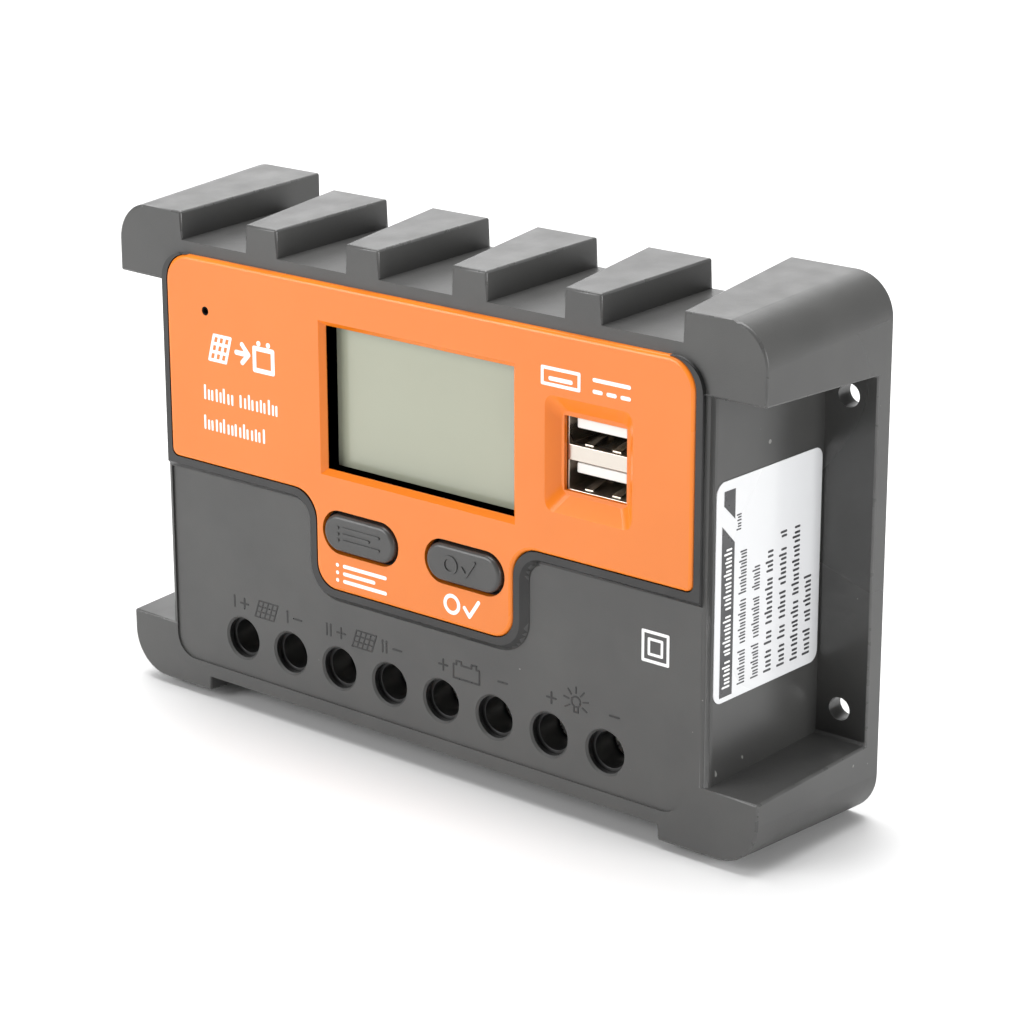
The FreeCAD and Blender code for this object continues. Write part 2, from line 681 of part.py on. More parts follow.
# ---------------------------------------------------------------- front plate
def face_plate():
    """Coloured plate in the bed, with window, button holes, pinhole and the dish for the socket."""
    body = new_body("plate_body")
    sketch = outline(body, "plate_outline", "XZ_Plane", f"-{PLATE_FACE}", tee("0", "0", "0"))
    base = pad(body, "plate_pad", sketch, "plate_thickness")
    top = soften(body, "plate_top_corners", "Fillet", edges_at(base, sketch, [0, 1]),
                 Radius="plate_round + 0.1")
    tab = soften(body, "plate_tab_corners", "Fillet", edges_at(top, sketch, [4, 5]),
                 Radius="plate_round - 0.9")
    low = soften(body, "plate_low_corners", "Fillet", edges_at(tab, sketch, [2, 7]),
                 Radius="plate_corner + 0.1")
    inner = soften(body, "plate_inner_corners", "Fillet", edges_at(low, sketch, [3, 6]),
                   Radius="plate_round - 0.3")
    front = inner.Shape.BoundBox
    upper = edges_where(inner, lambda box: box.YMax < front.YMin + 0.01 and box.ZMax > front.ZMax - 0.01)
    soften(body, "plate_upper_edge", "Fillet", upper, Radius="top_edge_round")
    boss = block("dish_boss", ("usb_middle - dish_width / 2 - dish_wall",
                               "usb_middle + dish_width / 2 + dish_wall"),
                 (f"{BED_FLOOR} - 0.2", f"{PLATE_FACE} + dish_depth + dish_floor"),
                 ("usb_height - dish_height / 2 - dish_wall", "usb_height + dish_height / 2 + dish_wall"))
    solid = fuse("plate_with_boss", [body, boss])
    through = (f"{PLATE_FACE} - 1", f"{PLATE_FACE} + 5")
    mouth = "(window_width / 2 + window_bevel)"
    half = "(window_width / 2)"
    bevel = taper("window_bevel",
                  (f"window_middle - {mouth}", f"window_middle + {mouth}",
                   "window_bottom - window_bevel", "window_bottom + window_height + window_bevel"),
                  (f"window_middle - {half}", f"window_middle + {half}",
                   "window_bottom", "window_bottom + window_height"),
                  (PLATE_FACE, f"{PLATE_FACE} + window_bevel"))
    tools = [bevel, block("plate_window", (f"window_middle - {half}", f"window_middle + {half}"), through,
                          ("window_bottom", "window_bottom + window_height"))]
    dish = taper("dish_raw",
                 ("usb_middle - dish_width / 2", "usb_middle + dish_width / 2",
                  "usb_height - dish_height / 2", "usb_height + dish_height / 2"),
                 ("usb_middle - usb_opening / 2 - dish_land_wide",
                  "usb_middle + usb_opening / 2 + dish_land_wide",
                  "usb_height - usb_opening / 2 - dish_land_high",
                  "usb_height + usb_opening / 2 + dish_land_high"),
                 (PLATE_FACE, f"{PLATE_FACE} + dish_depth"))
    tools.append(rounded("dish", dish, lambda middle, span: span[1] > 1 and min(span[0], span[2]) > 0.5,
                         "dish_round"))
    tools.append(block("socket_hole", ("usb_middle - usb_opening / 2", "usb_middle + usb_opening / 2"),
                       through,
                       ("usb_height - usb_opening / 2", "usb_height + usb_opening / 2")))
    for name, middle in BUTTONS:
        tools.append(stadium(f"plate_{name}_hole", middle, "button_middle_height",
                             "button_width + 2 * button_gap",
                             "button_height + 2 * button_gap", through))
    tools.append(rod("plate_led_hole", "led_x", "led_height", "led_hole", through))
    return node(cut("plate_finished", solid, tools), "face_plate")


# ---------------------------------------------------------------- push buttons
def push_button(name, middle):
    """Moulded cap with rounded rim, a flange that keeps it behind the wall, and a stem to its switch."""
    body = new_body(name + "_cap")
    face = BUTTON_FACE
    flange_front = f"{INSIDE} + 0.2"
    plunger_tip = "display_board_face - switch_depth - plunger_reach"
    cap = outline(body, name + "_cap_outline", "XZ_Plane", f"-{face}",
                  rectangle(("-button_width / 2", "button_width / 2"),
                            ("-button_height / 2", "button_height / 2")))
    raised = pad(body, name + "_cap_pad", cap, f"{flange_front} + 1 - {face}")
    ends = soften(body, name + "_cap_ends", "Fillet", edges_at(raised, cap, [0, 1, 2, 3]),
                  Radius="button_height / 2 - 0.02")
    front = ends.Shape.BoundBox
    rim = edges_where(ends, lambda box: box.YMax < front.YMin + 0.01)
    soften(body, name + "_cap_rim", "Fillet", rim, Radius="button_edge")
    wide = outline(body, name + "_flange_outline", "XZ_Plane", f"-({flange_front})",
                   rectangle(("-button_width / 2 - button_flange", "button_width / 2 + button_flange"),
                             ("-button_height / 2 - button_flange", "button_height / 2 + button_flange")))
    pad(body, name + "_flange_pad", wide, "1")
    stem = outline(body, name + "_stem_outline", "XZ_Plane", f"-({flange_front} + 1)",
                   rectangle(("-button_stem / 2", "button_stem / 2"),
                             ("-button_stem / 2", "button_stem / 2")))
    pad(body, name + "_stem_pad", stem, f"{plunger_tip} - ({flange_front} + 1)")
    bind(body, Placement__Base__x=middle, Placement__Base__z="button_middle_height")
    node(body, name + "_button")
    node(rod(name + "_plunger_rod", middle, "button_middle_height", "plunger_width",
             (plunger_tip, f"{plunger_tip} + plunger_length")), name + "_plunger")


def switch_bodies():
    """Two tactile switches on the display board, each bored for its plunger."""
    switches = []
    for name, middle in BUTTONS:
        half = "switch_width / 2"
        case = block(name + "_switch_case", (f"{middle} - {half}", f"{middle} + {half}"),
                     ("display_board_face - switch_depth", "display_board_face"),
                     (f"button_middle_height - {half}", f"button_middle_height + {half}"))
        well = rod(name + "_switch_well", middle, "button_middle_height", "plunger_width + 4 * thread_gap",
                   ("display_board_face - switch_depth - 1", "display_board_face - switch_floor"))
        switches.append(cut(name + "_switch", case, [well]))
    node(group("switches", switches), "switch_bodies")


# ---------------------------------------------------------------- display
def display():
    """Liquid crystal cell, its frame and light block, the pin row and the board that carries them."""
    left, right = "window_middle - glass_width / 2", "window_middle + glass_width / 2"
    low, high = "glass_bottom", "glass_bottom + glass_height"
    node(block("cell", (left, right), (GLASS_FACE, GLASS_REAR), (low, high)), "lcd_glass")
    frame = block("frame_raw", (left, right), (GLASS_REAR, "display_board_face"), (low, high))
    through = (f"{GLASS_REAR} - 1", "display_board_face + 1")
    inside = block("frame_inside", (f"{left} + frame_rim", f"{right} - frame_rim"), through,
                   (f"{low} + frame_rim", f"{high} - frame_bar"))
    pin_slot = block("frame_pin_slot", (f"{left} + frame_bar", f"{right} - frame_bar"), through,
                     (f"{high} - frame_bar / 2 - lcd_pin", f"{high} - frame_bar / 2 + lcd_pin"))
    node(cut("frame_cut", frame, [inside, pin_slot]), "lcd_frame")
    node(block("light_block", (f"{left} + frame_rim", f"{right} - frame_rim"),
               (GLASS_REAR, "display_board_face - light_setback"), (f"{low} + frame_rim",
                                                                    f"{high} - frame_bar")),
         "lcd_backlight")
    pins = []
    for index in range(16):
        x = f"(window_middle + ({index} - 7.5) * lcd_pin_pitch)"
        pins.append(block(f"lcd_pin_{index + 1}", (f"{x} - lcd_pin / 2", f"{x} + lcd_pin / 2"),
                          (GLASS_REAR, "display_board_face"),
                          (f"{high} - frame_bar / 2 - lcd_pin / 4",
                           f"{high} - frame_bar / 2 + lcd_pin / 4")))
    node(group("lcd_pin_row", pins), "lcd_pins")
    board = block("display_board_raw", ("-display_board_half", "display_board_half"),
                  ("display_board_face", "display_board_face + board_thickness"),
                  ("display_board_bottom", "display_board_top"))
    holes = [rod(f"display_hole_{index + 1}", x, z, "pilot_hole + 6 * seat_gap",
                 ("display_board_face - 1", "display_board_face + board_thickness + 1"))
             for index, (x, z) in enumerate(DISPLAY_POSTS)]
    holes += header_pins("display_board", "header_pin / 2 + seat_gap", "display_board_face")
    node(cut("display_board_drilled", board, holes), "display_board")
    fixing_screws("display_screws", DISPLAY_POSTS, "display_board_face + board_thickness",
                  "fixing_head", "fixing_head_depth", "pilot_depth")
    strip = block("header_strip", ("-header_width / 2", "header_width / 2"),
                  ("display_board_face + board_thickness", "main_board_face"),
                  ("header_height - header_depth / 2", "header_height + header_depth / 2"))
    pins = header_pins("header", "header_pin / 2", "display_board_face")
    node(cut("header_strip_drilled", strip, pins), "header_body")
    node(group("header_pin_row", pins), "header_pins")


def header_pins(name, half, face):
    """Five square pins, or the holes for them, from a millimetre before face to behind the main board."""
    pins = []
    for index in range(5):
        x = f"({index} - 2) * lcd_pin_pitch"
        pins.append(block(f"{name}_pin_{index + 1}", (f"{x} - ({half})", f"{x} + {half}"),
                          (f"{face} - 1", f"{BOARD_REAR} + 1"), (f"header_height - ({half})",
                                                                 f"header_height + {half}")))
    return pins


def cross_recess(name, x, z, y):
    """Two crossed blades that sink a driver's recess."""
    wide, slim = "recess_length / 2", "recess_width / 2"
    return [block(name + "_a", (f"{x} - {wide}", f"{x} + {wide}"), y, (f"{z} - {slim}", f"{z} + {slim}")),
            block(name + "_b", (f"{x} - {slim}", f"{x} + {slim}"), y, (f"{z} - {wide}", f"{z} + {wide}"))]


def fixing_screws(name, places, seat, head_width, head_depth, length):
    """Flat-headed screws along Y with a cross recess, one for each place, driven from behind."""
    screws = []
    for index, (x, z) in enumerate(places):
        label = f"{name}_{index + 1}"
        head = rod(label + "_head", x, z, head_width, (seat, f"{seat} + {head_depth}"))
        shank = rod(label + "_shank", x, z, "pilot_hole", (f"{seat} - {length}", seat))
        solid = fuse(label + "_solid", [head, shank])
        recess = (f"{seat} + {head_depth} - recess_depth", f"{seat} + {head_depth} + 1")
        screws.append(cut(label, solid, cross_recess(label + "_slot", x, z, recess)))
    node(group(name + "_set", screws), name)


# ---------------------------------------------------------------- status lamp
def status_lamp():
    """Small lamp on the main board and the clear rod that carries its light to the pinhole."""
    node(block("led_chip", ("led_x - led_side / 2", "led_x + led_side / 2"),
               ("main_board_face - led_depth", "main_board_face"),
               ("led_height - led_side / 2", "led_height + led_side / 2")), "status_led")
    node(rod("led_rod", "led_x", "led_height", "led_hole - led_gap",
             (f"{PLATE_FACE} + led_rod_setback", "main_board_face - led_depth")), "light_pipe")


# ---------------------------------------------------------------- USB socket
def usb_socket():
    """Stacked double receptacle: folded shell, white insulator with two tongues, contact strips."""
    front = f"{PLATE_FACE} + dish_depth + dish_floor + 2 * seat_gap"
    rear = "main_board_face"
    inner_rear = f"{rear} - shell_sheet"
    shell = block("shell_raw", ("usb_middle - shell_width / 2", "usb_middle + shell_width / 2"),
                  (front, rear),
                  ("usb_height - shell_height / 2", "usb_height + shell_height / 2"))
    rises = ("usb_height - port_pitch / 2", "usb_height + port_pitch / 2")
    port_x = ("usb_middle - port_width / 2", "usb_middle + port_width / 2")
    tools = [block(f"port_{index + 1}", port_x, (f"{front} - 1", inner_rear),
                   (f"{z} - port_height / 2", f"{z} + port_height / 2")) for index, z in enumerate(rises)]
    tools.append(block("shell_middle", port_x, (f"{front} + shell_sheet", inner_rear),
                       ("usb_height - port_pitch / 2 + port_height / 2 + shell_sheet",
                        "usb_height + port_pitch / 2 - port_height / 2 - shell_sheet")))
    node(cut("shell_folded", shell, tools), "usb_shell")
    pieces = []
    strips = []
    for index, z in enumerate(rises):
        pieces.append(block(f"insulator_{index + 1}", port_x, (f"{front} + port_depth", inner_rear),
                            (f"{z} - port_height / 2", f"{z} + port_height / 2")))
        top = f"{z} + port_height / 2 - tongue_drop"
        under = f"{top} - tongue_thickness"
        pieces.append(block(f"tongue_raw_{index + 1}",
                            ("usb_middle - tongue_width / 2", "usb_middle + tongue_width / 2"),
                            (f"{front} + tongue_setback", f"{front} + port_depth + 1"), (under, top)))
        for count in range(4):
            x = f"(usb_middle + ({count} - 1.5) * contact_pitch)"
            strips.append(block(f"contact_{index + 1}_{count + 1}",
                                (f"{x} - contact_width / 2", f"{x} + contact_width / 2"),
                                (f"{front} + 2 * tongue_setback", f"{front} + port_depth"),
                                (f"{under} - contact_sheet", under)))
    lower = fuse("insulator_lower", pieces[:2])
    upper = fuse("insulator_upper", pieces[2:])
    node(group("insulator_pair", [lower, upper]), "usb_insulator")
    node(group("contact_strips", strips), "usb_contacts")


# ---------------------------------------------------------------- screw terminals
def terminal_block():
    """Insulating body: for each pole a screw well in front, a clamp chamber and a wire funnel below."""
    body = block("terminal_raw", ("terminal_first - terminal_pitch / 2",
                                  "terminal_first + 7.5 * terminal_pitch"),
                 (f"{INSIDE} + 4 * seat_gap", "main_board_face"),
                 ("body_bottom + side_wall + 2 * seat_gap", "terminal_top"))
    tools = []
    lugs = []
    past = "main_board_face + 1"
    for index, x in enumerate(POLES):
        tag = index + 1
        tools.append(rod(f"well_{tag}", x, "terminal_height", "screw_head + 12 * thread_gap",
                         (INSIDE, "screw_face + head_depth + 4 * thread_gap")))
        tools.append(rod(f"neck_{tag}", x, "terminal_height", "screw_thread + 10 * thread_gap",
                         ("screw_face", "clamp_front + clamp_nut")))
        tools.append(block(f"chamber_{tag}", (f"{x} - chamber_width / 2", f"{x} + chamber_width / 2"),
                           ("screw_face + head_depth + 4 * thread_gap", past), ("chamber_low",
                                                                                "chamber_high")))
        tools.append(block(f"funnel_{tag}", (f"{x} - entry_width / 2", f"{x} + entry_width / 2"),
                           ("entry_front + 2 * seat_gap", past), ("body_bottom", "chamber_low + 1")))
        tools.append(block(f"lug_slot_{tag}", (f"{x} - lug_width / 2 - 2 * seat_gap",
                                               f"{x} + lug_width / 2 + 2 * seat_gap"),
                           ("lug_front - 4 * seat_gap", past), ("chamber_low", "lug_top + 4 * seat_gap")))
        lug_x = (f"{x} - lug_width / 2", f"{x} + lug_width / 2")
        leg = block(f"lug_bar_{tag}", lug_x, ("lug_front", "lug_front + lug_sheet"), ("lug_low", "lug_top"))
        foot = block(f"lug_foot_{tag}", lug_x, ("lug_front", f"{BOARD_REAR} + lug_sheet"),
                     ("lug_top - lug_sheet", "lug_top"))
        lugs.append(fuse(f"lug_{tag}", [leg, foot]))
    node(cut("terminal_moulding", body, tools), "terminal_block")
    node(group("lug_row", lugs), "terminal_lugs")


def terminal_screw(number, middle):
    """Clamp screw with a cross slot that turns in place, its axis along Y."""
    body = new_body(f"screw_{number}_body")
    head, thread = "screw_head / 2", "screw_thread / 2"
    tip = "screw_length - 12 * thread_gap"
    profile = [("0", "0"), (head, "0"), (head, "head_depth"), (thread, "head_depth"), (thread, tip),
               (f"{thread} - 12 * thread_gap", "screw_length"), ("0", "screw_length")]
    sketch = outline(body, f"screw_{number}_profile", "XY_Plane", "0", profile)
    turned = body.newObject("PartDesign::Revolution", f"screw_{number}_turned")
    turned.Profile = sketch
    turned.ReferenceAxis = (sketch, ["V_Axis"])
    turned.Angle = 360
    doc.recompute()
    wide, slim = "slot_length / 2", "slot_width / 2"
    for letter, x, z in (("a", wide, slim), ("b", slim, wide)):
        slot = outline(body, f"screw_{number}_slot_{letter}", "XZ_Plane", "1",
                       rectangle((f"-{x}", x), (f"-{z}", z)))
        pocket(body, f"screw_{number}_cut_{letter}", slot, "1 + head_depth / 2")
    bind(body, Placement__Base__x=middle, Placement__Base__y="screw_face",
         Placement__Base__z="terminal_height")
    node(body, f"terminal_screw_{number}")


def terminal_clamp(number, middle):
    """Rising clamp: a square brass frame, tapped in front for the screw, open below for the wire."""
    body = new_body(f"clamp_{number}_body")
    half = "clamp_width / 2"
    ring = outline(body, f"clamp_{number}_outline", "XY_Plane", "-clamp_height / 2",
                   rectangle((f"-{half}", half), ("clamp_front", "clamp_back")))
    pad(body, f"clamp_{number}_pad", ring, "clamp_height", towards_back=False)
    window = outline(body, f"clamp_{number}_window", "XY_Plane", "-clamp_height / 2 - 1",
                     rectangle((f"-{half} + clamp_sheet", f"{half} - clamp_sheet"),
                               ("clamp_front + clamp_nut", "clamp_back - clamp_sheet")))
    pocket(body, f"clamp_{number}_open", window, "clamp_height + 2", towards_back=False)
    bind(body, Placement__Base__x=middle, Placement__Base__z="terminal_height")
    tapped = rod(f"clamp_{number}_thread", middle, "terminal_height", "screw_thread + 2 * thread_gap",
                 ("clamp_front - 1", "clamp_front + clamp_nut + 1"))
    node(cut(f"clamp_{number}_tapped", body, [tapped]), f"terminal_clamp_{number}")


# ---------------------------------------------------------------- main board and its parts
TRANSISTORS = [f"(({index} - 1.5) * transistor_pitch)" for index in range(4)]
TAB_HOLE_HEIGHT = "(transistor_bottom + tab_hole_rise)"


def main_board():
    """Circuit board behind the terminals, slotted for their lugs and screwed to four posts."""
    board = block("main_board_raw", ("-main_board_half", "main_board_half"),
                  ("main_board_face", BOARD_REAR),
                  ("main_board_bottom", "main_board_top"))
    through = ("main_board_face - 1", f"{BOARD_REAR} + 1")
    holes = [rod(f"board_hole_{index + 1}", x, z, "pilot_hole + 6 * seat_gap", through)
             for index, (x, z) in enumerate(BOARD_POSTS)]
    holes += [block(f"board_slot_{index + 1}", (f"{x} - lug_width / 2 - 4 * seat_gap",
                                                f"{x} + lug_width / 2 + 4 * seat_gap"),
                    through, ("lug_top - lug_sheet - 4 * seat_gap", "lug_top + 4 * seat_gap"))
              for index, x in enumerate(POLES)]
    holes += header_pins("main_board", "header_pin / 2 + seat_gap", "main_board_face")
    node(cut("main_board_drilled", board, holes), "main_board")
    fixing_screws("board_screws", BOARD_POSTS, BOARD_REAR, "fixing_head", "fixing_head_depth",
                  "pilot_depth")


def transistors():
    """Four power transistors between the board and the heat sink, with pad, screws and nuts."""
    tab_face = f"{PLATE_BACK} - pad_thickness"
    tab_front = f"{tab_face} - tab_sheet"
    low, high = "transistor_bottom", "transistor_bottom + transistor_height"
    tabs, bodies, legs, nuts, screws, pad_holes = [], [], [], [], [], []
    for index, x in enumerate(TRANSISTORS):
        tag = index + 1
        wide = (f"{x} - transistor_width / 2", f"{x} + transistor_width / 2")
        slim = (f"{wide[0]} + transistor_draft", f"{wide[1]} - transistor_draft")
        tab = block(f"tab_raw_{tag}", wide, (tab_front, tab_face), (low, f"{low} + tab_height"))
        tab_hole = rod(f"tab_hole_{tag}", x, TAB_HOLE_HEIGHT, "sink_screw * 1.2",
                       (f"{tab_front} - 1", f"{tab_face} + 1"))
        tabs.append(cut(f"tab_{tag}", tab, [tab_hole]))
        bodies.append(taper(f"transistor_{tag}",
                            slim + (f"{low} + transistor_draft", f"{high} - transistor_draft"),
                            wide + (low, high), (f"{tab_face} - transistor_depth", tab_front)))
        for leg in range(3):
            leg_x = f"({x} + ({leg} - 1) * leg_pitch)"
            leg_wide = (f"{leg_x} - leg_width / 2", f"{leg_x} + leg_width / 2")
            leg_rear = f"{tab_front} - 2 * leg_sheet"
            down = block(f"leg_down_{tag}_{leg}", leg_wide, (f"{leg_rear} - leg_sheet", leg_rear),
                         (f"{low} - leg_drop", low))
            bend = block(f"leg_in_{tag}_{leg}", leg_wide, (BOARD_REAR, leg_rear),
                         (f"{low} - leg_drop", f"{low} - leg_drop + leg_sheet"))
            legs.append(fuse(f"leg_{tag}_{leg}", [down, bend]))
        nut_front = f"{tab_front} - sink_nut_depth"
        nut = rod(f"nut_round_{tag}", x, TAB_HOLE_HEIGHT, "sink_nut", (nut_front, tab_front))
        thread = rod(f"nut_thread_{tag}", x, TAB_HOLE_HEIGHT, "sink_screw + 0.4 * thread_gap",
                     (f"{nut_front} - 1", tab_face))
        nuts.append(cut(f"nut_{tag}", nut, [thread]))
        crown = f"{HEAT_SINK_REAR} + sink_screw_rise"
        head = cone(f"sink_screw_head_{tag}", x, TAB_HOLE_HEIGHT, "sink_screw_head",
                    "sink_screw_head * 0.76",
                    (HEAT_SINK_REAR, crown))
        shank = rod(f"sink_screw_shank_{tag}", x, TAB_HOLE_HEIGHT, "sink_screw",
                    (f"{nut_front} - 4 * seat_gap", HEAT_SINK_REAR))
        solid = fuse(f"sink_screw_solid_{tag}", [head, shank])
        recess = (f"{crown} - recess_depth", f"{crown} + 1")
        screws.append(cut(f"sink_screw_{tag}", solid,
                          cross_recess(f"sink_slot_{tag}", x, TAB_HOLE_HEIGHT, recess)))
        pad_holes.append(rod(f"pad_hole_{tag}", x, TAB_HOLE_HEIGHT, "sink_screw + 4 * thread_gap",
                             (f"{tab_face} - 1", f"{PLATE_BACK} + 1")))
    node(group("transistor_row", bodies), "transistor_bodies")
    node(group("tab_row", tabs), "transistor_tabs")
    node(group("leg_rows", legs), "transistor_legs")
    node(group("nut_row", nuts), "transistor_nuts")
    node(group("sink_screw_row", screws), "transistor_screws")
    reach = "(1.5 * transistor_pitch + transistor_width * 0.6)"
    pad_sheet = block("pad_raw", (f"-{reach}", reach), (tab_face, PLATE_BACK),
                      (f"{low} - 2 * pad_thickness", f"{low} + tab_height + 2 * pad_thickness"))
    node(cut("pad_punched", pad_sheet, pad_holes), "thermal_pad")


def chip(name, x, z, side):
    """A flat square package on the front of the main board."""
    return block(name, (f"{x} - {side} / 2", f"{x} + {side} / 2"),
                 ("main_board_face - chip_depth", "main_board_face"),
                 (f"{z} - {side} / 2", f"{z} + {side} / 2"))


def board_parts():
    """Capacitors, choke, chips and current shunts soldered on the board's front."""
    cans = []
    for level in ("low", "high"):
        can = rod(f"can_{level}_raw", "can_x", f"can_{level}", "can_width",
                  ("main_board_face - can_length", "main_board_face"))
        cans.append(rounded(f"can_{level}_rounded", can, lambda middle, span: middle.y < 0, "can_edge"))
    node(group("can_pair", cans), "capacitors")
    crown = "main_board_face - choke_depth"
    foot = "main_board_face - choke_flange"
    bobbin = [rod("choke_base", "choke_x", "choke_height", "choke_width", (foot, "main_board_face")),
              rod("choke_middle", "choke_x", "choke_height", "choke_core_width",
                  (crown, "main_board_face")),
              rod("choke_cap", "choke_x", "choke_height", "choke_width",
                  (crown, f"{crown} + choke_flange"))]
    node(fuse("choke_spool", bobbin), "choke_core")
    winding = rod("winding_raw", "choke_x", "choke_height", "winding_width",
                  (f"{crown} + choke_flange", foot))
    hole = rod("winding_hole", "choke_x", "choke_height", "choke_core_width", (crown, "main_board_face"))
    node(cut("winding_wound", winding, [hole]), "choke_winding")
    node(chip("controller_chip", "chip_x", "chip_height", "chip_side"), "microcontroller")
    node(chip("regulator_chip", "regulator_x", "regulator_height", "regulator_side"), "usb_regulator")
    bridges = []
    for index in range(2):
        x = f"(shunt_first + {index} * shunt_pitch)"
        wide = (f"{x} - shunt_wire / 2", f"{x} + shunt_wire / 2")
        bridge = block(f"shunt_bar_{index + 1}", wide, ("main_board_face - shunt_rise", "main_board_face"),
                       ("shunt_low", "shunt_low + shunt_span"))
        under = block(f"shunt_gap_{index + 1}", (f"{wide[0]} - 1", f"{wide[1]} + 1"),
                      ("main_board_face - shunt_rise + shunt_wire", "main_board_face + 1"),
                      ("shunt_low + shunt_wire", "shunt_low + shunt_span - shunt_wire"))
        bridges.append(cut(f"shunt_{index + 1}", bridge, [under]))
    node(group("shunt_pair", bridges), "shunts")


# ---------------------------------------------------------------- rear plate and label
def rear_plate():
    """Aluminium heat sink that closes the back, notched round the ears, held by four screws."""
    body = new_body("heat_sink")
    wide = f"({HALF_BACK} - side_wall - sink_gap)"
    tall = "(lower_ear_inner - sink_gap)"
    low, high = "(lower_ear_top_back + sink_gap)", "(upper_ear_under_back - sink_gap)"
    floor, roof = "body_bottom", "rear_plate_top"
    points = [(f"-{tall}", floor), (tall, floor), (tall, low), (wide, low), (wide, high), (tall, high),
              (tall, roof), (f"-{tall}", roof), (f"-{tall}", high), (f"-{wide}", high), (f"-{wide}", low),
              (f"-{tall}", low)]
    sketch = outline(body, "heat_sink_outline", "XZ_Plane", f"-{PLATE_BACK}", points)
    pad(body, "heat_sink_pad", sketch, "rear_plate_thickness")
    through = (f"{PLATE_BACK} - 1", f"{HEAT_SINK_REAR} + 1")
    holes = [rod(f"heat_sink_hole_{index + 1}", x, z, "pilot_hole + 3 * sink_gap", through)
             for index, (x, z) in enumerate(PLATE_BOSSES)]
    holes += [rod(f"heat_sink_tab_hole_{index + 1}", x, TAB_HOLE_HEIGHT, "sink_screw + 2 * sink_gap",
                  through)
              for index, x in enumerate(TRANSISTORS)]
    node(cut("heat_sink_drilled", body, holes), "rear_plate")
    fixing_screws("rear_screws", PLATE_BOSSES, HEAT_SINK_REAR, "fixing_head", "fixing_head_depth",
                  "pilot_depth + 1")


def side_label():
    """Printed rating label on the right side wall, following its draft."""
    front_x = f"({HALF_FRONT} + side_draft * (label_front - {RIM}))"
    back_x = f"({HALF_FRONT} + side_draft * (label_back - {RIM}))"
    raw = taper("label_raw", (front_x, f"{front_x} + label_thickness", "label_bottom", "label_top"),
                (back_x, f"{back_x} + label_thickness", "label_bottom", "label_top"), ("label_front",
                                                                                       "label_back"))
    node(rounded("label_cut", raw, lambda middle, span: max(span) < 0.3, "label_round"), "side_label")


# ---------------------------------------------------------------- build, test and write
front_housing()
face_plate()
for button_name, button_middle in BUTTONS:
    push_button(button_name, button_middle)
switch_bodies()
display()
status_lamp()
usb_socket()
terminal_block()
for pole, pole_x in enumerate(POLES, start=1):
    terminal_screw(pole, pole_x)
    terminal_clamp(pole, pole_x)
main_board()
transistors()
board_parts()
rear_plate()
side_label()
doc.recompute()

for thing in doc.Objects:
    state = set(thing.State)
    assert not state & {"Invalid", "Error"}, f"{thing.Label}: {thing.State}"
for thing in NODES:
    assert not thing.Shape.isNull() and thing.Shape.isValid(), thing.Label
os.makedirs("parts", exist_ok=True)
for thing in NODES:
    thing.Shape.exportStep(f"parts/{thing.Label}.step")
print(len(NODES), "nodes written")
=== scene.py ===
"""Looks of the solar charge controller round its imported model. Metres; +X right, +Y back, +Z up."""
from math import atan2, cos, pi, radians, sin

import bmesh
import bpy
from mathutils import Matrix, Vector


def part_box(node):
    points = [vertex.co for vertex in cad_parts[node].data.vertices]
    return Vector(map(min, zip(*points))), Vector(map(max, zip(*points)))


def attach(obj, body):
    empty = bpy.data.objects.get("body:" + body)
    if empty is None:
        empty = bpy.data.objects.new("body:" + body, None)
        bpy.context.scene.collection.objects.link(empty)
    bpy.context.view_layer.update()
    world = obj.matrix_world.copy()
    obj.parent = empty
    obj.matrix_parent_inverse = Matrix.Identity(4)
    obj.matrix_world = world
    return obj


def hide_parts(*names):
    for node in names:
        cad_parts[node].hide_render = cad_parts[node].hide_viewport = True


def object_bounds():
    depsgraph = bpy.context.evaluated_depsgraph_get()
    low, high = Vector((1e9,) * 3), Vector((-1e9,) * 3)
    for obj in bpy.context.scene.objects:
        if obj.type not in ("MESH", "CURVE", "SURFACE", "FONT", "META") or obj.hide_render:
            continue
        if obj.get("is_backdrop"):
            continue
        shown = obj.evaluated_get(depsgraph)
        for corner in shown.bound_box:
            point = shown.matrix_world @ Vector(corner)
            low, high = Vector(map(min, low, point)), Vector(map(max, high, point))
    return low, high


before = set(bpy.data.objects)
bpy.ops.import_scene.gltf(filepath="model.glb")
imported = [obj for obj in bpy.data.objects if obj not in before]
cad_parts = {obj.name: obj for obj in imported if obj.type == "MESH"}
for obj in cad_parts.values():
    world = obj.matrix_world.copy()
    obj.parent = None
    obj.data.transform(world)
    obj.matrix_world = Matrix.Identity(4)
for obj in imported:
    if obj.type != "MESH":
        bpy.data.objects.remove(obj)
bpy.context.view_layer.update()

# ---------------------------------------------------------------- front housing
# One injection moulding in dark grey, glass-filled plastic with a fine spark-eroded texture.
# Corner ears, fins, side flanges and the raised bed are all in the one piece; edges come out of
# the mould slightly rounded, and their rounds get a lighter copy of the plastic as a painted highlight.


def new_material(name, color, roughness, metallic=0.0, **inputs):
    """Principled shader with the plain values set on its sockets."""
    material = bpy.data.materials.new(name)
    material.use_nodes = True
    shader = material.node_tree.nodes["Principled BSDF"]
    shader.inputs["Base Color"].default_value = (*color, 1)
    shader.inputs["Roughness"].default_value = roughness
    shader.inputs["Metallic"].default_value = metallic
    for socket, value in inputs.items():
        shader.inputs[socket.replace("_", " ")].default_value = value
    return material


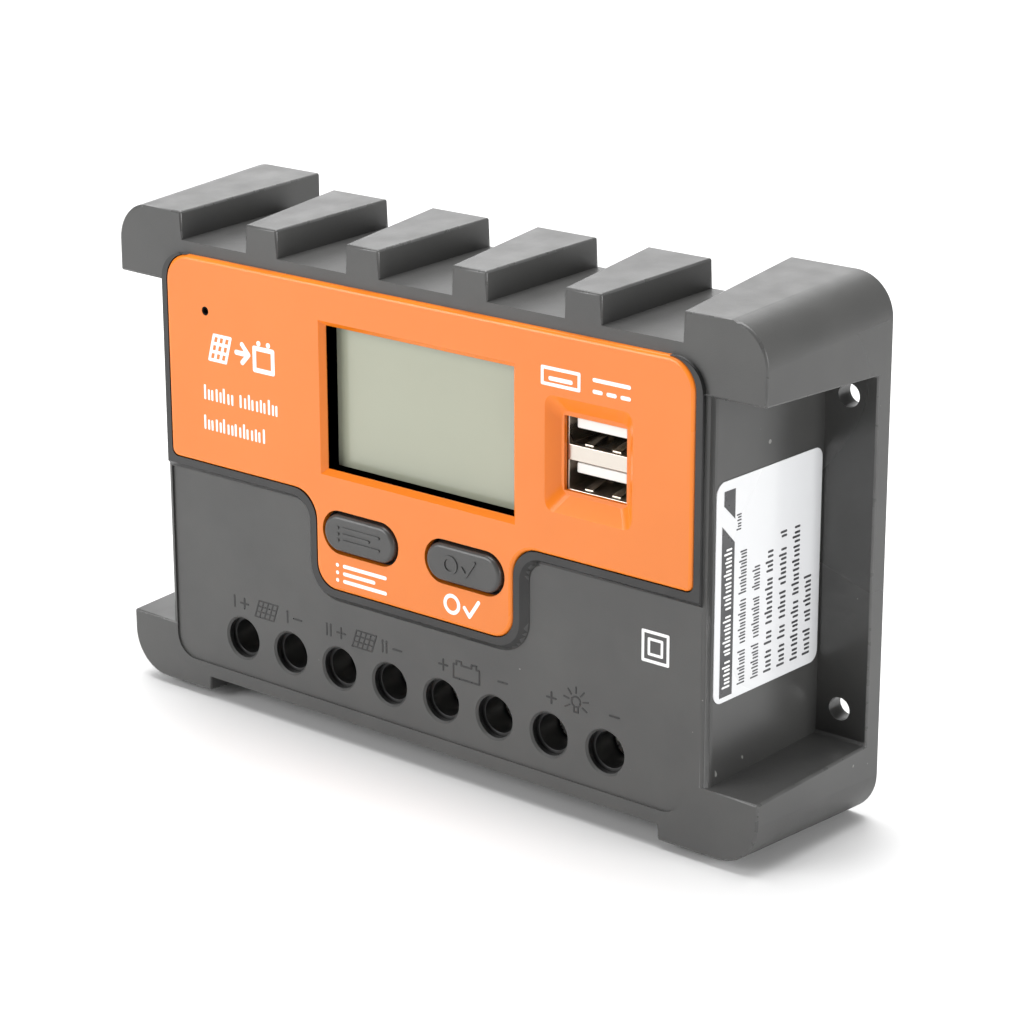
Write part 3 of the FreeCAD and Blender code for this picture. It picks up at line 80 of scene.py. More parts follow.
def noise(material, scale, detail=3.0, stretch=(1, 1, 1)):
    """Noise in object space, drawn out along an axis where stretch is small."""
    nodes, links = material.node_tree.nodes, material.node_tree.links
    place = nodes.new("ShaderNodeTexCoord")
    mapping = nodes.new("ShaderNodeMapping")
    mapping.inputs["Scale"].default_value = stretch
    field = nodes.new("ShaderNodeTexNoise")
    field.inputs["Scale"].default_value = scale
    field.inputs["Detail"].default_value = detail
    links.new(place.outputs["Object"], mapping.inputs["Vector"])
    links.new(mapping.outputs["Vector"], field.inputs["Vector"])
    return field.outputs["Fac"]


def vary_roughness(material, fac, roughest):
    """Roughness that wanders from the material's own value to its roughest."""
    shader = material.node_tree.nodes["Principled BSDF"]
    spread = material.node_tree.nodes.new("ShaderNodeMapRange")
    spread.inputs["From Min"].default_value = 0.3
    spread.inputs["From Max"].default_value = 0.7
    spread.inputs["To Min"].default_value = shader.inputs["Roughness"].default_value
    spread.inputs["To Max"].default_value = roughest
    material.node_tree.links.new(fac, spread.inputs["Value"])
    material.node_tree.links.new(spread.outputs["Result"], shader.inputs["Roughness"])


def vary_color(material, fac, second, low=0.35, high=0.65):
    """Color that wanders from the material's own tone to a second one."""
    shader = material.node_tree.nodes["Principled BSDF"]
    ramp = material.node_tree.nodes.new("ShaderNodeValToRGB")
    first_stop, second_stop = ramp.color_ramp.elements
    first_stop.position = low
    first_stop.color = shader.inputs["Base Color"].default_value
    second_stop.position = high
    second_stop.color = (*second, 1)
    material.node_tree.links.new(fac, ramp.inputs["Fac"])
    material.node_tree.links.new(ramp.outputs["Color"], shader.inputs["Base Color"])


def emboss(material, fac, height, strength=1.0):
    """Fine relief of the given height."""
    bump = material.node_tree.nodes.new("ShaderNodeBump")
    bump.inputs["Distance"].default_value = height
    bump.inputs["Strength"].default_value = strength
    material.node_tree.links.new(fac, bump.inputs["Height"])
    shader = material.node_tree.nodes["Principled BSDF"]
    material.node_tree.links.new(bump.outputs["Normal"], shader.inputs["Normal"])


HARD_EDGE = radians(28)


def from_node(name, node, material, edge=0.0, segments=2, body="housing", pick=None):
    """A welded copy of a CAD node, which it stands for, with its hard edges or those pick chooses rounded."""
    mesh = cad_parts[node].data.copy()
    mesh.name = name
    bm = bmesh.new()
    bm.from_mesh(mesh)
    bmesh.ops.remove_doubles(bm, verts=bm.verts, dist=2e-6)
    bmesh.ops.dissolve_limit(bm, angle_limit=radians(0.5), verts=bm.verts, edges=bm.edges)
    for face in bm.faces:
        face.smooth = True
    if pick:
        weight = bm.edges.layers.float.new("bevel_weight_edge")
        for line in bm.edges:
            steep = line.is_manifold and line.calc_face_angle() > radians(50)
            first, last = line.verts
            line[weight] = 1.0 if steep and pick((first.co + last.co) / 2, line.calc_length()) else 0.0
    bm.to_mesh(mesh)
    bm.free()
    mesh.set_sharp_from_angle(angle=HARD_EDGE)
    mesh.materials.clear()
    mesh.materials.append(material)
    piece = bpy.data.objects.new(name, mesh)
    bpy.context.scene.collection.objects.link(piece)
    if edge:
        bevel = piece.modifiers.new("edges", "BEVEL")
        bevel.limit_method = "WEIGHT" if pick else "ANGLE"
        bevel.angle_limit = HARD_EDGE
        bevel.width = edge
        bevel.segments = segments
        bevel.profile = 0.5
        bevel.use_clamp_overlap = not pick
    shading = piece.modifiers.new("shading", "WEIGHTED_NORMAL")
    shading.mode = "FACE_AREA"
    shading.weight = 80
    shading.keep_sharp = True
    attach(piece, body)
    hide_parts(node)
    return piece


def speckle(material, fac, threshold, color):
    """Specks of another color wherever fac passes the threshold, laid over the base color."""
    nodes, links = material.node_tree.nodes, material.node_tree.links
    gate = nodes.new("ShaderNodeMapRange")
    gate.inputs["From Min"].default_value = threshold
    gate.inputs["From Max"].default_value = threshold + 0.015
    mix = nodes.new("ShaderNodeMix")
    mix.data_type = "RGBA"
    mix.inputs["B"].default_value = (*color, 1)
    shader = nodes["Principled BSDF"]
    links.new(fac, gate.inputs["Value"])
    links.new(gate.outputs["Result"], mix.inputs["Factor"])
    links.new(shader.inputs["Base Color"].links[0].from_socket, mix.inputs["A"])
    links.new(mix.outputs["Result"], shader.inputs["Base Color"])


housing_plastic = new_material("housing_plastic", (0.057, 0.057, 0.056), 0.4)
vary_color(housing_plastic, noise(housing_plastic, 60, 4), (0.066, 0.066, 0.064))
speckle(housing_plastic, noise(housing_plastic, 900, 1), 0.845, (0.22, 0.22, 0.21))
vary_roughness(housing_plastic, noise(housing_plastic, 180, 5), 0.5)
emboss(housing_plastic, noise(housing_plastic, 3800, 2), 0.00006, 0.35)
# the smoother walls of the side recesses, and the flanges behind them; their darker tone is painted shade in
# the recesses
smooth_shaded_plastic = new_material("smooth_housing_painted_shade", (0.042, 0.042, 0.041), 0.26, Specular_IOR_Level=0.6)
vary_color(smooth_shaded_plastic, noise(smooth_shaded_plastic, 60, 4), (0.052, 0.052, 0.05))
speckle(smooth_shaded_plastic, noise(smooth_shaded_plastic, 700, 0), 0.86, (0.2, 0.2, 0.19))
vary_roughness(smooth_shaded_plastic, noise(smooth_shaded_plastic, 16, 1), 0.32)
emboss(smooth_shaded_plastic, noise(smooth_shaded_plastic, 5200, 1), 0.00001, 0.12)
# the glossy raised bed round the plate and the driver holes' walls, in a near-black copy of the plastic:
# painted shade
gloss_and_shade = new_material("glossy_bed_painted_shade", (0.011, 0.011, 0.011), 0.3)
vary_color(gloss_and_shade, noise(gloss_and_shade, 90, 3), (0.02, 0.02, 0.02))
vary_roughness(gloss_and_shade, noise(gloss_and_shade, 1200, 3), 0.36)
emboss(gloss_and_shade, noise(gloss_and_shade, 2200, 2), 0.00003, 0.2)
# lighter, glossier copy for the rounded outer edges: a painted highlight
edge_highlight = new_material("painted_edge_highlight", (0.062, 0.062, 0.061), 0.24)
vary_color(edge_highlight, noise(edge_highlight, 140, 4), (0.09, 0.09, 0.088), 0.3, 0.7)
vary_roughness(edge_highlight, noise(edge_highlight, 400, 3), 0.36)


EAR_START, FIN_TOP, EAR_FOOT, BACK_FACE = 0.0655, 0.0918, 0.0042, 0.0179
SHORTEST_EDGE = 0.0007


def outer_edge(middle, length):
    """Edges of the ears, flanges and fins; not those of the mounting holes."""
    outside = abs(middle.x) > EAR_START or middle.z > FIN_TOP or middle.z < EAR_FOOT
    return outside and length > SHORTEST_EDGE and middle.y < BACK_FACE


housing = from_node("housing", "front_housing", housing_plastic, 0.0004,
                    pick=outer_edge)
SMOOTH_SHADE, GLOSSY_SHADE, EDGE_HIGHLIGHT = 1, 2, 3
for extra in (smooth_shaded_plastic, gloss_and_shade, edge_highlight):
    housing.data.materials.append(extra)
housing.modifiers["edges"].material = EDGE_HIGHLIGHT
BED_LEVEL, FIELD_LEVEL, WELL_FLOOR, WELL_TOP = -0.0163, -0.0155, -0.013, 0.0195
TERMINALS_END = 0.055
RECESS_FOOT, RECESS_TOP, RECESS_START = 0.0128, 0.083, 0.058
for face in housing.data.polygons:
    middle, out = face.center, face.normal
    in_well = FIELD_LEVEL < middle.y < WELL_FLOOR and middle.z < WELL_TOP and abs(middle.x) < TERMINALS_END
    in_recess = RECESS_FOOT < middle.z < RECESS_TOP and abs(middle.x) > RECESS_START
    faces_front = out.y < -0.9
    # the bed and the walls of the driver wells take the near-black copy as painted shade
    if middle.y < BED_LEVEL or (in_well and abs(out.y) < 0.9):
        face.material_index = GLOSSY_SHADE
    # recess walls and back flanges: smoother, and darker as painted shade
    elif (in_recess and abs(out.z) < 0.9 and not faces_front) or (middle.y > 0 and faces_front):
        face.material_index = SMOOTH_SHADE

# ---------------------------------------------------------------- front plate
# Orange moulding, smooth and satin, snapped into the bed of the housing. Its upper edge is
# rolled over and the dish for the double socket is part of it.
plate_plastic = new_material("plate_plastic", (0.715, 0.186, 0.023), 0.36)
vary_color(plate_plastic, noise(plate_plastic, 45, 3), (0.745, 0.196, 0.027))
vary_roughness(plate_plastic, noise(plate_plastic, 900, 3), 0.42)
emboss(plate_plastic, noise(plate_plastic, 2600, 2), 0.00003, 0.2)
plate = from_node("plate", "face_plate", plate_plastic, 0.0002, 2)
# the mould's polished parts: rolled edge, window bevel and the slopes of the dish; their brighter orange is a
# painted highlight
polish_and_highlight = new_material("polished_plate_painted_highlight", (0.8, 0.195, 0.01), 0.24, Specular_IOR_Level=0.45)
vary_color(polish_and_highlight, noise(polish_and_highlight, 14, 1), (0.84, 0.21, 0.014))
vary_roughness(polish_and_highlight, noise(polish_and_highlight, 16, 1), 0.3)
POLISHED_HIGHLIGHT = 1
plate.data.materials.append(polish_and_highlight)
# every face that does not face straight forward takes the brighter copy, a painted highlight
for face in plate.data.polygons:
    face.material_index = POLISHED_HIGHLIGHT if abs(face.normal.y) < 0.985 else 0
plate.modifiers["edges"].material = POLISHED_HIGHLIGHT

# ---------------------------------------------------------------- window gasket, a painted shade
# Frame of matte black sheet round the inside of the display's opening: painted shade for the opening's
# dark walls. It fills the gap between the plate and the glass and hides the housing's rim.
shade_sheet = new_material("painted_shade_gasket", (0.004, 0.004, 0.004), 0.75, Specular_IOR_Level=0.0)
vary_roughness(shade_sheet, noise(shade_sheet, 1500, 3), 0.95)
emboss(shade_sheet, noise(shade_sheet, 2600, 2), 0.00004, 0.5)
SHADE_SHEET_WIDTH, SHADE_SHEET_CLEARANCE = 0.0003, 0.00003
plate_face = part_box("face_plate")[0].y
glass_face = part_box("lcd_glass")[0].y
shade_sheet_front = plate_face + 0.0011
left, right, foot, top = -0.02105, 0.02225, 0.0529, 0.0796
strip = bmesh.new()
opening = strip.faces.new([strip.verts.new((x, shade_sheet_front, z)) for x, z in
                           ((left, foot), (right, foot), (right, top), (left, top))])
bmesh.ops.inset_region(strip, faces=[opening], thickness=SHADE_SHEET_WIDTH, use_boundary=True)
bmesh.ops.delete(strip, geom=[opening], context="FACES")
grown = bmesh.ops.extrude_face_region(strip, geom=strip.faces[:])["geom"]
bmesh.ops.translate(strip, vec=(0, glass_face - shade_sheet_front - SHADE_SHEET_CLEARANCE, 0),
                    verts=[part for part in grown if isinstance(part, bmesh.types.BMVert)])
bmesh.ops.recalc_face_normals(strip, faces=strip.faces)


def finished(name, bm, material, body="housing"):
    """The mesh as one piece that rides on a body."""
    mesh = bpy.data.meshes.new(name)
    bm.to_mesh(mesh)
    bm.free()
    mesh.materials.append(material)
    piece = bpy.data.objects.new(name, mesh)
    bpy.context.scene.collection.objects.link(piece)
    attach(piece, body)
    return piece


finished("window_shade_gasket", strip, shade_sheet)

# ---------------------------------------------------------------- pinhole sleeve, a painted shade
# Short black sleeve in the lamp's pinhole, round the clear rod: painted shade for the
# pinhole's dark walls.
pinhole_shade = new_material("pinhole_shade", (0.006, 0.006, 0.006), 0.6, Specular_IOR_Level=0.15)
vary_roughness(pinhole_shade, noise(pinhole_shade, 1800, 2), 0.8)
emboss(pinhole_shade, noise(pinhole_shade, 3000, 2), 0.00002, 0.3)
rod_low, rod_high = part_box("light_pipe")
axis = Vector(((rod_low.x + rod_high.x) / 2, 0, (rod_low.z + rod_high.z) / 2))
BORE, OUTSIDE = 0.00062, 0.00084
tube_end = rod_low.y - 0.00003
tube = bmesh.new()
profile = [tube.verts.new((axis.x + r, y, axis.z)) for r, y in
           ((BORE, plate_face + 0.00015), (OUTSIDE, plate_face + 0.00005),
            (OUTSIDE, tube_end), (BORE, tube_end))]
edges = [tube.edges.new((profile[k], profile[(k + 1) % 4])) for k in range(4)]
bmesh.ops.spin(tube, geom=profile + edges, cent=axis, axis=(0, 1, 0), angle=2 * pi, steps=24, use_merge=True)
bmesh.ops.recalc_face_normals(tube, faces=tube.faces)
finished("pinhole_shade_sleeve", tube, pinhole_shade)

# ---------------------------------------------------------------- push buttons
# Two oval caps, moulded in the housing's plastic but smoother, each with a raised sign on its
# face. A cap and the plunger behind it slide together.


def plane_at(x, y, z, across=(1, 0, 0), up=(0, 0, 1)):
    """Matrix of a drawing plane: local x runs across, local y up, local z out of the surface."""
    across, up = Vector(across).normalized(), Vector(up).normalized()
    out = across.cross(up)
    turn = Matrix((across, up, out)).transposed().to_4x4()
    return Matrix.Translation((x, y, z)) @ turn


def stroke(bm, plane, start, end, width, height):
    """A flat bar with round ends from start to end on the plane, millimetres in the plane."""
    first, last = Vector((*start, 0)) / 1000, Vector((*end, 0)) / 1000
    along = last - first
    turn = Matrix.Rotation(atan2(along.y, along.x), 4, "Z")
    stretch = Matrix.Diagonal((along.length + width / 1000, width / 1000, 2 * height, 1))
    place = plane @ Matrix.Translation((first + last) / 2) @ turn @ stretch
    corners = bmesh.ops.create_cube(bm, size=1, matrix=place)["verts"]
    out = plane.to_3x3() @ Vector((0, 0, 1))
    edges = {edge for corner in corners for edge in corner.link_edges}
    upright = [e for e in edges if abs((e.verts[0].co - e.verts[1].co).normalized().dot(out)) > 0.99]
    bmesh.ops.bevel(bm, geom=upright, offset=0.45 * width / 1000, segments=3, profile=0.5,
                    affect="EDGES", material=-1)


# bars that cross or meet differ by this share in height, so that no two tops coincide
TOP_STEP = 0.12


def path(bm, plane, points, width, height, closed=False):
    """Bars joined end to end."""
    ends = points[1:] + points[:1] if closed else points[1:]
    for count, (start, end) in enumerate(zip(points, ends)):
        stroke(bm, plane, start, end, width, height * (1 + TOP_STEP * (count % 4)))


def ring(bm, plane, middle, radius, width, height):
    """A flat ring, turned from a small rectangle."""
    inner, outer = (radius - width / 2) / 1000, (radius + width / 2) / 1000
    place = plane @ Matrix.Translation(Vector((*middle, 0)) / 1000)
    profile = [bm.verts.new(place @ Vector((r, 0, z)))
               for r, z in ((inner, -height), (outer, -height), (outer, height), (inner, height))]
    edges = [bm.edges.new((profile[k], profile[(k + 1) % 4])) for k in range(4)]
    out = place.to_3x3() @ Vector((0, 0, 1))
    bmesh.ops.spin(bm, geom=profile + edges, cent=place.translation, axis=out, angle=2 * pi, steps=28,
                   use_merge=True)
    bmesh.ops.recalc_face_normals(bm, faces=bm.faces)


def list_sign(bm, plane, middle, reach, rise, width, height):
    """Three lines with a point before each, for a list; the middle one is shorter."""
    point = middle[0] - reach
    line_start = point + 2.4 * width
    full_length = middle[0] + reach - line_start
    for level, share in ((1, 1.0), (0, 0.72), (-1, 1.0)):
        z = middle[1] + level * rise
        stroke(bm, plane, (point, z), (point + 0.02, z), width, height)
        stroke(bm, plane, (line_start, z), (line_start + full_length * share, z), width, height)


def tick_sign(bm, plane, middle, size, width, height):
    """A ring and a tick, for a setting."""
    ring(bm, plane, (middle[0] - 1.15 * size, middle[1]), size * 0.9, width, height)
    path(bm, plane, [(middle[0] + 0.5 * size, middle[1]), (middle[0] + 1.15 * size, middle[1] - 0.8 * size),
                     (middle[0] + 2.35 * size, middle[1] + 0.95 * size)], width, height)


button_plastic = new_material("button_plastic", (0.045, 0.045, 0.044), 0.28, Specular_IOR_Level=0.55)
vary_color(button_plastic, noise(button_plastic, 120, 3), (0.055, 0.055, 0.054))
vary_roughness(button_plastic, noise(button_plastic, 300, 4), 0.38)
emboss(button_plastic, noise(button_plastic, 2400, 3), 0.00005, 0.3)
RAISED = 0.0002
for key in ("menu", "set"):
    from_node(key + "_cap", key + "_button", button_plastic, 0.0001, 1, key + "_key")
    low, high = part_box(key + "_button")
    middle = (low + high) / 2
    cap_face = plane_at(middle.x, low.y, middle.z)
    signs = bmesh.new()
    if key == "menu":
        list_sign(signs, cap_face, (0, 0), 4.9, 1.2, 0.55, RAISED)
    else:
        tick_sign(signs, cap_face, (-0.9, 0), 1.6, 0.55, RAISED)
    finished(key + "_cap_sign", signs, button_plastic, key + "_key")

# ---------------------------------------------------------------- printing on the front plate
# White screen print on the orange plate: plain signs and rows of plain ticks for what the lines
# of words say on the real one. The ink is about 0.03 mm thick and a little uneven.


def tick_row(bm, plane, start, words, tall, width, height):
    """A row of plain upright ticks in groups; start is the foot of the row, words are (from, to)."""
    heights, pitches = (1, 0.72, 0.72, 0.86, 0.72), (2.0, 1.75, 2.3)
    count = 0
    for first, last in words:
        spot = first + width / 2
        while spot < last:
            x, top = start[0] + spot, start[1] + tall * heights[count % 5]
            stroke(bm, plane, (x, start[1] + width / 2), (x, top - width / 2), width, height)
            spot += width * pitches[count % 3]
            count += 1


def panel_sign(bm, plane, foot, columns, across, rise, lean, width, height):
    """A leaning grid for a solar panel, three cells high; foot is its lower left corner."""
    for row in range(4):
        start = (foot[0] + lean * row, foot[1] + rise * row)
        stroke(bm, plane, start, (start[0] + across * (columns - 1), start[1]), width, height)
    for column in range(columns):
        start = (foot[0] + across * column, foot[1])
        stroke(bm, plane, start, (start[0] + 3 * lean, start[1] + 3 * rise), width, height * (1 + TOP_STEP))


ink = new_material("white_ink", (0.86, 0.86, 0.85), 0.38)
vary_color(ink, noise(ink, 500, 3), (0.93, 0.93, 0.92))
vary_roughness(ink, noise(ink, 900, 3), 0.55)
front = plane_at(0, plate_face, 0)
prints = bmesh.new()
INK = 0.00003
# a panel, an arrow and a battery, over two rows of ticks
panel_sign(prints, front, (-49.6, 68.6), 4, 1.4, 1.6, 0.45, 0.62, INK)
path(prints, front, [(-42.6, 71.1), (-39.9, 71.1)], 0.95, INK)
path(prints, front, [(-41.1, 72.8), (-39.5, 71.1), (-41.1, 69.4)], 0.95, INK * 1.5)
path(prints, front, [(-38.0, 68.6), (-38.0, 72.7), (-33.4, 72.7), (-33.4, 68.6)], 0.9, INK, closed=True)
for post in (-36.9, -34.5):
    stroke(prints, front, (post, 73.7), (post + 0.02, 73.7), 1.0, INK)
tick_row(prints, front, (-51.3, 60.6), ((0, 7.7), (9.2, 19.5)), 2.9, 0.5, INK)
tick_row(prints, front, (-51.5, 54.8), ((0, 15.7),), 2.8, 0.5, INK)
# a plug and a direct current sign over the socket
path(prints, front, [(29.2, 78.3), (37.0, 78.3), (37.0, 81.1), (29.2, 81.1)], 0.6, INK, closed=True)
stroke(prints, front, (30.9, 79.35), (35.3, 79.35), 0.75, INK)
stroke(prints, front, (40.2, 80.7), (47.4, 80.7), 0.7, INK)
for first in (40.2, 43.1, 46.0):
    stroke(prints, front, (first, 78.7), (first + 1.4, 78.7), 0.7, INK)
# the buttons' signs under them
list_sign(prints, front, (-12.6, 33.9), 5.8, 1.45, 0.72, INK)
tick_sign(prints, front, (10.9, 34.1), 1.75, 0.72, INK)
finished("plate_printing", prints, ink)

# ---------------------------------------------------------------- mark on the field
# A small sign for double insulation, one square inside another, printed in white ink on the
# housing near the right end of the terminal field.
field_plane = plane_at(0, plate_face + 0.0016, 0)
safety = bmesh.new()
SIGN_X, SIGN_Z = 52.2, 36.0
for reach, width in ((2.6, 0.55), (1.35, 0.5)):
    corners = [(SIGN_X + across * reach, SIGN_Z + up * reach)
               for across, up in ((-1, -1), (1, -1), (1, 1), (-1, 1))]
    path(safety, field_plane, corners, width, INK, closed=True)
finished("field_sign", safety, ink)

# ---------------------------------------------------------------- marks over the terminals
# Pole signs raised a hair in the mould and left glossy: plus and minus, and for each pair a
# solar panel, a battery or a lamp.
relief = new_material("raised_marks", (0.01, 0.01, 0.01), 0.25)
vary_color(relief, noise(relief, 300, 2), (0.02, 0.02, 0.02))
vary_roughness(relief, noise(relief, 800, 2), 0.42)
wells = [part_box(f"terminal_screw_{i}") for i in range(1, 9)]
pole_x = [(low.x + high.x) * 500 for low, high in wells]
marks = bmesh.new()
THIN, LINE = 0.00006, 0.34
CROSS_Z, MARK_FOOT = 21.4, 19.6
for index, x in enumerate(pole_x):
    plus = index % 2 == 0
    cross_x = x + (0.6 if plus else 2.0)
    stroke(marks, field_plane, (cross_x - 1.0, CROSS_Z), (cross_x + 1.0, CROSS_Z), LINE, THIN)
    if plus:
        stroke(marks, field_plane, (cross_x, CROSS_Z - 1.0), (cross_x, CROSS_Z + 1.0),
               LINE, THIN * (1 + TOP_STEP))
    if index < 4:
        for tally in range(index // 2 + 1):
            tally_x = cross_x - 2.6 - 0.95 * tally
            stroke(marks, field_plane, (tally_x, CROSS_Z - 1.1), (tally_x, CROSS_Z + 1.1), LINE, THIN)
for x in (pole_x[0], pole_x[2]):
    panel_sign(marks, field_plane, (x + 3.3, MARK_FOOT), 5, 1.2, 1.1, 0.4, 0.26, THIN)
battery_x = pole_x[4] + 6.0
CASE_TOP, POST_TOP = 22.2, 22.9
left_half = [(-3.0, MARK_FOOT), (-3.0, CASE_TOP), (-2.3, CASE_TOP), (-2.3, POST_TOP), (-1.2, POST_TOP),
             (-1.2, CASE_TOP)]
outline = left_half + [(-x, z) for x, z in reversed(left_half)]
path(marks, field_plane, [(battery_x + x, z) for x, z in outline], 0.3, THIN, closed=True)
lamp_x, lamp_z = pole_x[6] + 6.0, 22.0
ring(marks, field_plane, (lamp_x, lamp_z), 0.95, 0.3, THIN)
base = [(lamp_x - 0.45, 20.9), (lamp_x - 0.45, 20.1), (lamp_x + 0.45, 20.1), (lamp_x + 0.45, 20.9)]
path(marks, field_plane, base, 0.3, THIN)
for ray in range(7):
    turn = radians(-30 + 40 * ray)
    start, end = [(lamp_x + reach * cos(turn), lamp_z + reach * sin(turn)) for reach in (1.6, 2.7)]
    stroke(marks, field_plane, start, end, 0.28, THIN)
finished("terminal_marks", marks, relief)

# ---------------------------------------------------------------- display
# Reflective liquid crystal cell, switched off: grey-green behind a clear glossy front film. It
# sits in a black frame on its light block, soldered to the display board by a row of pins.
cell = new_material("display_glass", (0.34, 0.355, 0.27), 0.3, Coat_Weight=0.6, Coat_Roughness=0.06)
vary_color(cell, noise(cell, 25, 2), (0.36, 0.375, 0.285))
vary_roughness(cell, noise(cell, 3000, 2), 0.36)
dark_plastic = new_material("dark_plastic", (0.015, 0.015, 0.016), 0.38)
vary_roughness(dark_plastic, noise(dark_plastic, 400, 4), 0.55)
emboss(dark_plastic, noise(dark_plastic, 2500, 2), 0.00003, 0.25)
clear_plastic = new_material("diffuser_plastic", (0.82, 0.85, 0.8), 0.2, Transmission_Weight=0.5, IOR=1.49)
vary_roughness(clear_plastic, noise(clear_plastic, 600, 2), 0.35)
laminate = new_material("board_laminate", (0.015, 0.1, 0.045), 0.3, Coat_Weight=0.4)
vary_color(laminate, noise(laminate, 220, 2, (1, 1, 0.2)), (0.03, 0.19, 0.08), 0.49, 0.51)
emboss(laminate, noise(laminate, 220, 2, (1, 1, 0.2)), 0.00003, 0.5)
from_node("display_cell", "lcd_glass", cell, 0.00012)
for node in ("lcd_frame", "switch_bodies", "header_body", "microcontroller", "usb_regulator",
             "transistor_bodies"):
    from_node(node + "_moulded", node, dark_plastic, 0.00012, 1)
for node in ("menu_plunger", "set_plunger"):
    from_node(node + "_moulded", node, dark_plastic, 0.00015, 2, node.split("_")[0] + "_key")
for node in ("lcd_backlight", "status_led", "light_pipe"):
    from_node(node + "_clear", node, clear_plastic, 0.00008, 1)
for node in ("display_board", "main_board"):
    from_node(node + "_etched", node, laminate, 0.00008, 1)

# ---------------------------------------------------------------- double USB socket
# Nickel-plated shell folded from thin sheet, with sprung leaves on its floors and side walls, and
# two white tongues with gold-flashed contacts, one above the other.
shell_steel = new_material("shell_steel", (0.6, 0.55, 0.49), 0.24, 1.0)
vary_roughness(shell_steel, noise(shell_steel, 60, 1, (0.2, 1, 1)), 0.32)
emboss(shell_steel, noise(shell_steel, 4500, 1), 0.000004, 0.2)
white_plastic = new_material("white_plastic", (0.83, 0.83, 0.8), 0.3)
vary_roughness(white_plastic, noise(white_plastic, 900, 2), 0.42)
contact_brass = new_material("contact_brass", (0.85, 0.62, 0.28), 0.2, 1.0)
vary_roughness(contact_brass, noise(contact_brass, 1200, 2), 0.35)
from_node("socket_shell", "usb_shell", shell_steel, 0.0001, 2)
insulator = from_node("socket_insulator", "usb_insulator", white_plastic, 0.00045, 3)
# the wall behind the two tongues takes the dark plastic: painted shade deep in the ports
insulator.data.materials.append(dark_plastic)
shell_low, shell_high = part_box("usb_shell")
for face in insulator.data.polygons:
    levels = [insulator.data.vertices[k].co.z for k in face.vertices]
    in_rear = face.center.y > shell_low.y + 0.0095
    face.material_index = 1 if in_rear and max(levels) - min(levels) > 0.002 else 0
from_node("socket_contacts", "usb_contacts", contact_brass, 0.00008, 1)


def leaf(bm, plane, length, width, lift, sheet):
    """A sprung leaf: a strip that rises to a crest and drops again, on the plane."""
    made = bmesh.ops.create_grid(bm, x_segments=10, y_segments=2, size=0.5)["verts"]
    crest = 0.75
    for corner in made:
        along = corner.co.x + 0.5
        if along < crest:
            rise = sin(along / crest * pi / 2)
        else:
            rise = cos((along - crest) / (1 - crest) * pi / 2)
        taper = 1 - 0.25 * along
        corner.co = plane @ Vector((along * length, corner.co.y * width * taper, rise * lift + sheet))
    faces = list({face for corner in made for face in corner.link_faces})
    bmesh.ops.solidify(bm, geom=faces, thickness=sheet)


springs = bmesh.new()
socket_x = (shell_low.x + shell_high.x) / 2
socket_z = (shell_low.z + shell_high.z) / 2
PORT_HALF_WIDTH, PORT_HALF_HEIGHT, PORT_PITCH = 0.00625, 0.00256, 0.0079
LEAF_LENGTH, LEAF_SHEET = 0.006, 0.00012
leaf_start = shell_low.y + 0.0012
for level in (-1, 1):
    port_z = socket_z + level * PORT_PITCH / 2
    for side in (-1, 1):
        port_floor = plane_at(socket_x + side * 0.0029, leaf_start, port_z - PORT_HALF_HEIGHT,
                              (0, 1, 0), (-1, 0, 0))
        leaf(springs, port_floor, LEAF_LENGTH, 0.0017, 0.0008, LEAF_SHEET)
        port_wall = plane_at(socket_x + side * PORT_HALF_WIDTH, leaf_start, port_z, (0, 1, 0), (0, 0, side))
        leaf(springs, port_wall, LEAF_LENGTH, 0.0016, 0.0004, LEAF_SHEET)
finished("socket_springs", springs, shell_steel)

# ---------------------------------------------------------------- screw terminals
# Black block with eight wells; in each a zinc-plated screw with a cross slot draws a square,
# nickel-plated brass clamp forwards onto a tinned lug.
terminal_plastic = new_material("terminal_plastic", (0.012, 0.012, 0.012), 0.32)
vary_roughness(terminal_plastic, noise(terminal_plastic, 500, 3), 0.5)
screw_steel = new_material("screw_steel", (0.8, 0.78, 0.73), 0.22, 1.0)
vary_roughness(screw_steel, noise(screw_steel, 1500, 4), 0.42)
vary_color(screw_steel, noise(screw_steel, 400, 3), (0.9, 0.88, 0.84))
clamp_brass = new_material("clamp_brass", (0.72, 0.66, 0.5), 0.22, 1.0)
vary_roughness(clamp_brass, noise(clamp_brass, 900, 3, (1, 1, 0.2)), 0.4)
tinned = new_material("tinned_metal", (0.72, 0.72, 0.7), 0.28, 1.0)
vary_roughness(tinned, noise(tinned, 1100, 3), 0.48)
from_node("terminal_body", "terminal_block", terminal_plastic, 0.0002, 2)
for index in range(1, 9):
    screw, clamp = f"screw_{index}", f"clamp_{index}"
    from_node(screw + "_turned", "terminal_" + screw, screw_steel, 0.00012, 2, screw)
    from_node(clamp + "_folded", "terminal_" + clamp, clamp_brass, 0.00018, 2, clamp)
for node in ("terminal_lugs", "header_pins", "lcd_pins", "shunts", "transistor_tabs", "transistor_legs"):
    from_node(node + "_tinned", node, tinned, 0.00006, 1)

